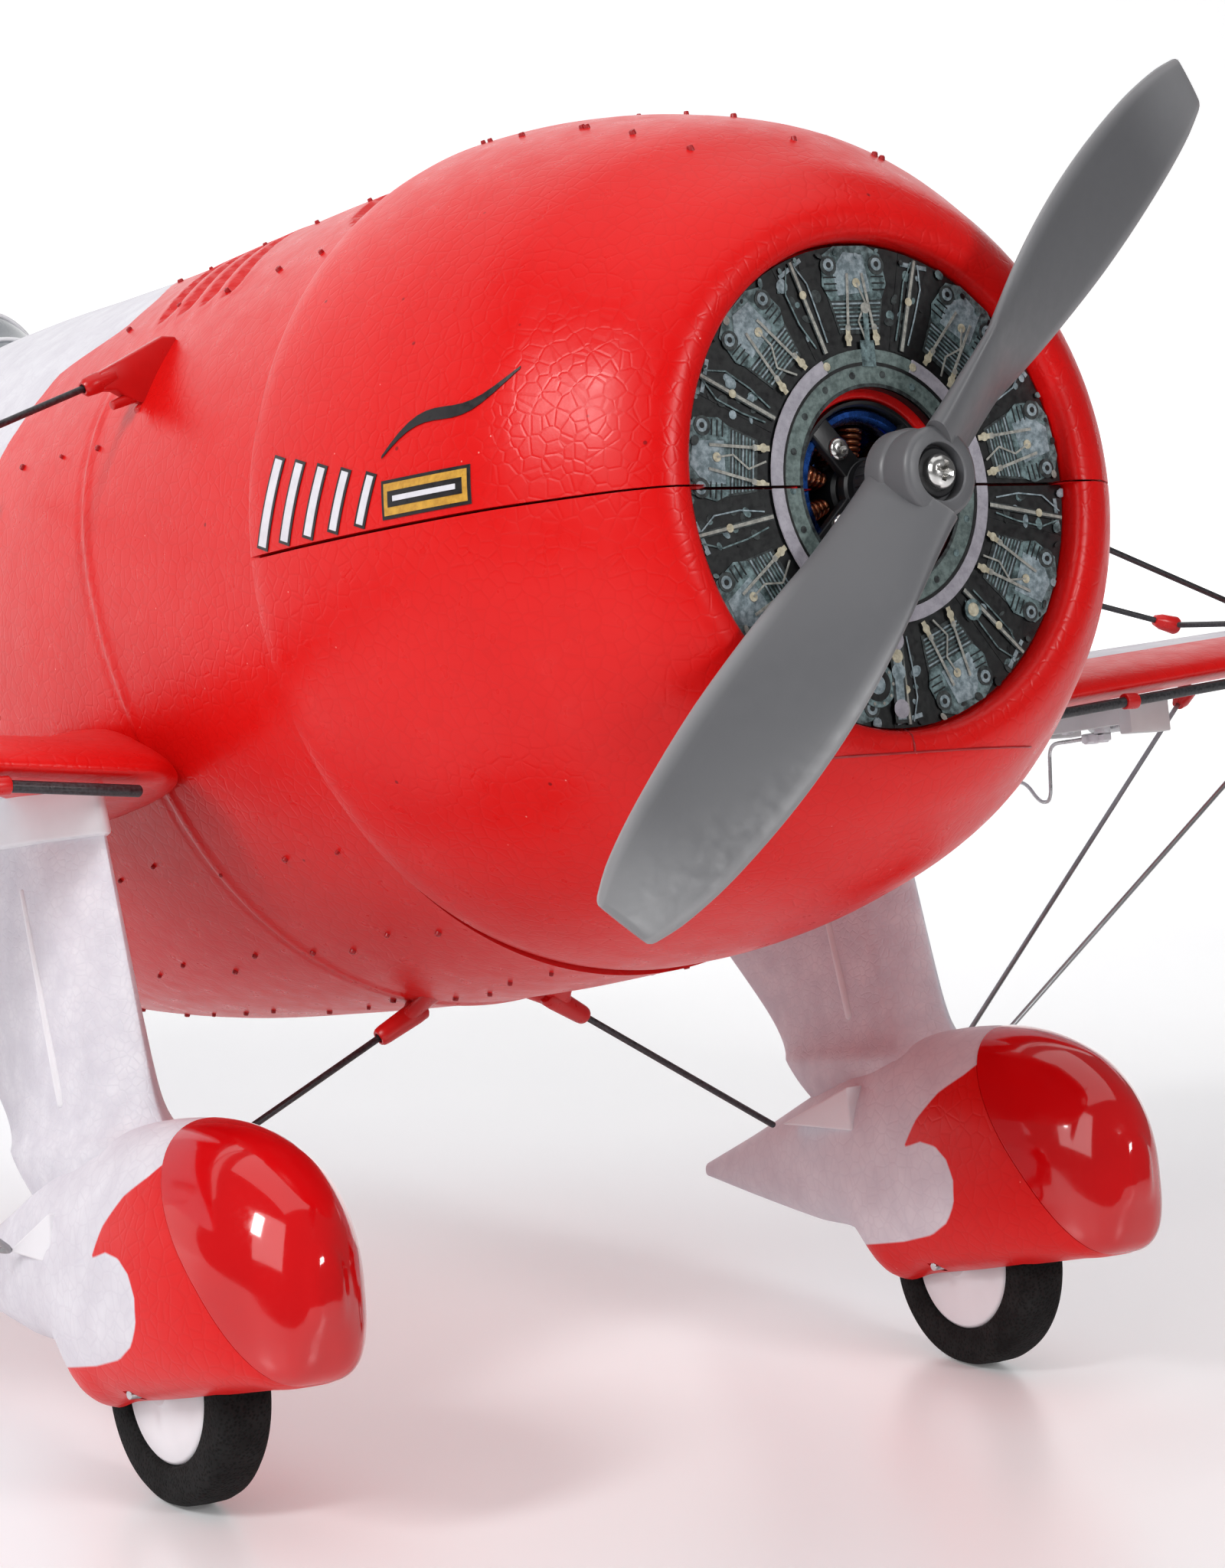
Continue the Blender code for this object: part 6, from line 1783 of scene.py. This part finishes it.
def make_tailplane():
    back = ELEVATOR_HINGE_Y - 2.3
    rings = []
    for x in [-90, -89.7, -89] + spaced(-88, 88, 2.0) + [89, 89.7, 90]:
        front, half = stab_front(x), 1.75 * (0.45 if abs(x) > 89.8 else 0.8 if abs(x) > 89.5 else 1.0)
        ring = []
        for k in range(13):
            turn = math.pi / 2 + math.pi * k / 12
            ring.append((x, front + 3.0 + 3.0 * math.cos(turn), TAIL_Z + half * math.sin(turn)))
        for k in range(1, 8):
            ring.append((x, front + 3.0 + (back - front - 3.0) * k / 7, TAIL_Z - half))
        for k in range(7, 0, -1):
            ring.append((x, front + 3.0 + (back - front - 3.0) * k / 7, TAIL_Z + half))
        rings.append(ring)
    mesh = bake(grid_loft(rings))
    piece("stabiliser_panel", mesh, "airframe", "tail_foam", ["stabiliser"], 40)

    bm = bmesh.new()
    spans = ((10.0, 27.0), (30, 27.0), (60, 25.5), (78, 22.0), (86, 16.5), (89, 10.0))
    for side in (1, -1):
        rings = []
        for x in spaced(10, 89, 2.0):
            trailing = ELEVATOR_HINGE_Y + smooth_table(spans, x)[0]
            rings.append(surface_ring(side * x, ELEVATOR_HINGE_Y, trailing, TAIL_Z, 1.7))
        grid_loft(rings, bm=bm)
    tube_bm([(-12, ELEVATOR_HINGE_Y, TAIL_Z), (12, ELEVATOR_HINGE_Y, TAIL_Z)], 1.05, 20, bm)
    piece("elevator_panel", bm, "elevator", "tail_foam", ["elevator"], 40)

    heights = ((-21, 15, 1.8), (-17, 22, 2.1), (-5, 28, 2.2), (12, 32.5, 2.2), (30, 34.0, 2.1),
               (46, 31.5, 2.0), (57, 25.5, 1.9), (63, 17, 1.8), (66, 8, 1.7))
    rings = []
    for z in spaced(-21, 66, 1.6):
        chord, half = smooth_table(heights, z)
        flat = surface_ring(0, RUDDER_HINGE_Y, RUDDER_HINGE_Y + chord, 0, half)
        rings.append([(across, y, z) for _, y, across in flat])
    rings = [[(x * 0.6, RUDDER_HINGE_Y + (y - RUDDER_HINGE_Y) * 0.93, -21.4) for x, y, _ in rings[0]]] + rings
    rings += [[(x * 0.6, RUDDER_HINGE_Y + (y - RUDDER_HINGE_Y) * 0.9, 66.4) for x, y, _ in rings[-1]]]
    piece("rudder_panel", grid_loft(rings), "rudder", "tail_foam", ["rudder"], 40)

    wheel = (0, 326.0, -49.8)
    profile = [(2.6, -1.7), (5.0, -1.9), (5.6, -1.5), (5.9, -0.9), (6.0, 0.0), (5.9, 0.9), (5.6, 1.5),
               (5.0, 1.9), (2.6, 1.7)]
    bm = revolve_bm(profile, wheel, (1, 0, 0), 96, closed=True)
    piece("tail_tyre", bm, "tail_wheel", "tyre", ["tail_wheel"], 50)
    hub = [(0.75, -2.1), (1.6, -2.1), (1.9, -1.8), (2.7, -1.5), (2.7, 1.5), (1.9, 1.8), (1.6, 2.1),
           (0.75, 2.1)]
    bm = revolve_bm(hub, wheel, (1, 0, 0), 64, closed=True)
    piece("tail_wheel_hub", bm, "tail_wheel", "white_plastic", ["tail_wheel"], 50)
    stem_y = RUDDER_HINGE_Y + 3
    path = [(0, stem_y, -9), (0, stem_y, -34), (4.2, 324.5, -42), (4.2, 326, -49.8), (-3.6, 326, -49.8)]
    piece("tail_wheel_wire", tube_bm(rounded_path(path), 0.55), "rudder", "steel", ["tail_wire"], 60)


for side_name, side_sign in SIDES:
    make_wing(side_name, side_sign)
    make_pant(side_name, side_sign)
    make_leg(side_name, side_sign)
    make_wheel(side_name, side_sign)
    make_rigging(side_name, side_sign)
make_canopy()
make_fin()
make_tailplane()


# ---------------------------------------------------------------- CAD nodes that stay as they are

KEPT = {
    "battery": "battery", "receiver_board": "circuit", "equipment_tray": "plywood",
    "elevator_servo": "servo_white", "rudder_servo": "servo_white", "elevator_rod": "steel",
    "rudder_rod": "steel", "elevator_horn": "white_plastic", "rudder_horn": "white_plastic",
    "aileron_horn_left": "white_plastic", "aileron_horn_right": "white_plastic",
}
for node_name, mat_name in KEPT.items():
    node_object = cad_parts[node_name]
    node_object.data.materials.clear()
    node_object.data.materials.append(M[mat_name])


# ---------------------------------------------------------------- studio

CAMERA_PLACE = (-0.30022, -0.52193, 0.14465)
CAMERA_TURN_DEG = (82.862, -1.437, -36.083)


def area_light(name, location, target, size, size_y, power, colour=(1, 1, 1)):
    data = bpy.data.lights.new(name, "AREA")
    data.shape = "RECTANGLE"
    data.size, data.size_y = size, size_y
    data.energy = power
    data.color = colour
    obj = bpy.data.objects.new(name, data)
    bpy.context.scene.collection.objects.link(obj)
    obj.location = location
    obj.rotation_euler = (Vector(target) - Vector(location)).to_track_quat("-Z", "Y").to_euler()
    return obj


def make_studio():
    """A pale floor that curves up into a glowing white backdrop, and four soft lights."""
    s = Shader("studio_floor", (0.92, 0.915, 0.925), 0.3, Specular_IOR_Level=0.85)
    mottled = s.mix(s.ramp(s.noise(90.0, 2.0), 0.3, 0.7), (0.90, 0.895, 0.91), (0.93, 0.925, 0.935))
    split = s.tree.nodes.new("ShaderNodeSeparateXYZ")
    s.set(split, "Vector", s.position())
    glow = s.ramp(split.outputs["Y"], 0.0, 0.9, 0.10, 0.66)
    s.set(s.principled, "Emission Color", (1.0, 1.0, 1.0))
    s.set(s.principled, "Emission Strength", glow)
    s.finish(mottled)
    bm = bmesh.new()
    profile = [(-2.2, 0.0), (0.0, 0.0), (0.9, 0.0)]
    profile += [(0.9 + 0.8 * math.sin(math.pi / 2 * k / 12), 0.8 * (1 - math.cos(math.pi / 2 * k / 12)))
                for k in range(1, 13)]
    profile.append((1.7, 2.6))
    rows = [[bm.verts.new((x, y, z)) for y, z in profile] for x in (-3.2, 3.2)]
    for k in range(len(profile) - 1):
        bm.faces.new((rows[0][k], rows[0][k + 1], rows[1][k + 1], rows[1][k]))
    mesh = bpy.data.meshes.new("studio_floor")
    bmesh.ops.recalc_face_normals(bm, faces=bm.faces)
    bm.to_mesh(mesh)
    bm.free()
    mesh.materials.append(s.material)
    mesh.shade_smooth()
    floor = bpy.data.objects.new("studio_floor", mesh)
    bpy.context.scene.collection.objects.link(floor)

    world = bpy.data.worlds.new("studio")
    bpy.context.scene.world = world
    world.use_nodes = True
    world.node_tree.nodes["Background"].inputs["Color"].default_value = (1.0, 0.99, 1.0, 1.0)
    world.node_tree.nodes["Background"].inputs["Strength"].default_value = 0.12
    bpy.context.scene.view_settings.view_transform = "Standard"
    target = (0, -0.1, 0.1)
    area_light("top_softbox", (0.1, -0.1, 1.4), target, 1.5, 1.5, 6.3)
    area_light("left_softbox", (-1.2, -0.40, 0.95), target, 0.24, 0.40, 9)
    area_light("key_softbox", (-1.15, -0.75, 0.85), target, 0.9, 0.9, 5.2)
    area_light("front_window", (0.30, -1.25, 0.62), target, 0.30, 0.22, 4)


def make_camera():
    data = bpy.data.cameras.new("camera")
    data.sensor_width = 36.0
    data.lens = 94.8
    camera = bpy.data.objects.new("camera", data)
    bpy.context.scene.collection.objects.link(camera)
    camera.location = CAMERA_PLACE
    camera.rotation_euler = [math.radians(angle) for angle in CAMERA_TURN_DEG]
    bpy.context.scene.camera = camera


make_studio()
make_camera()
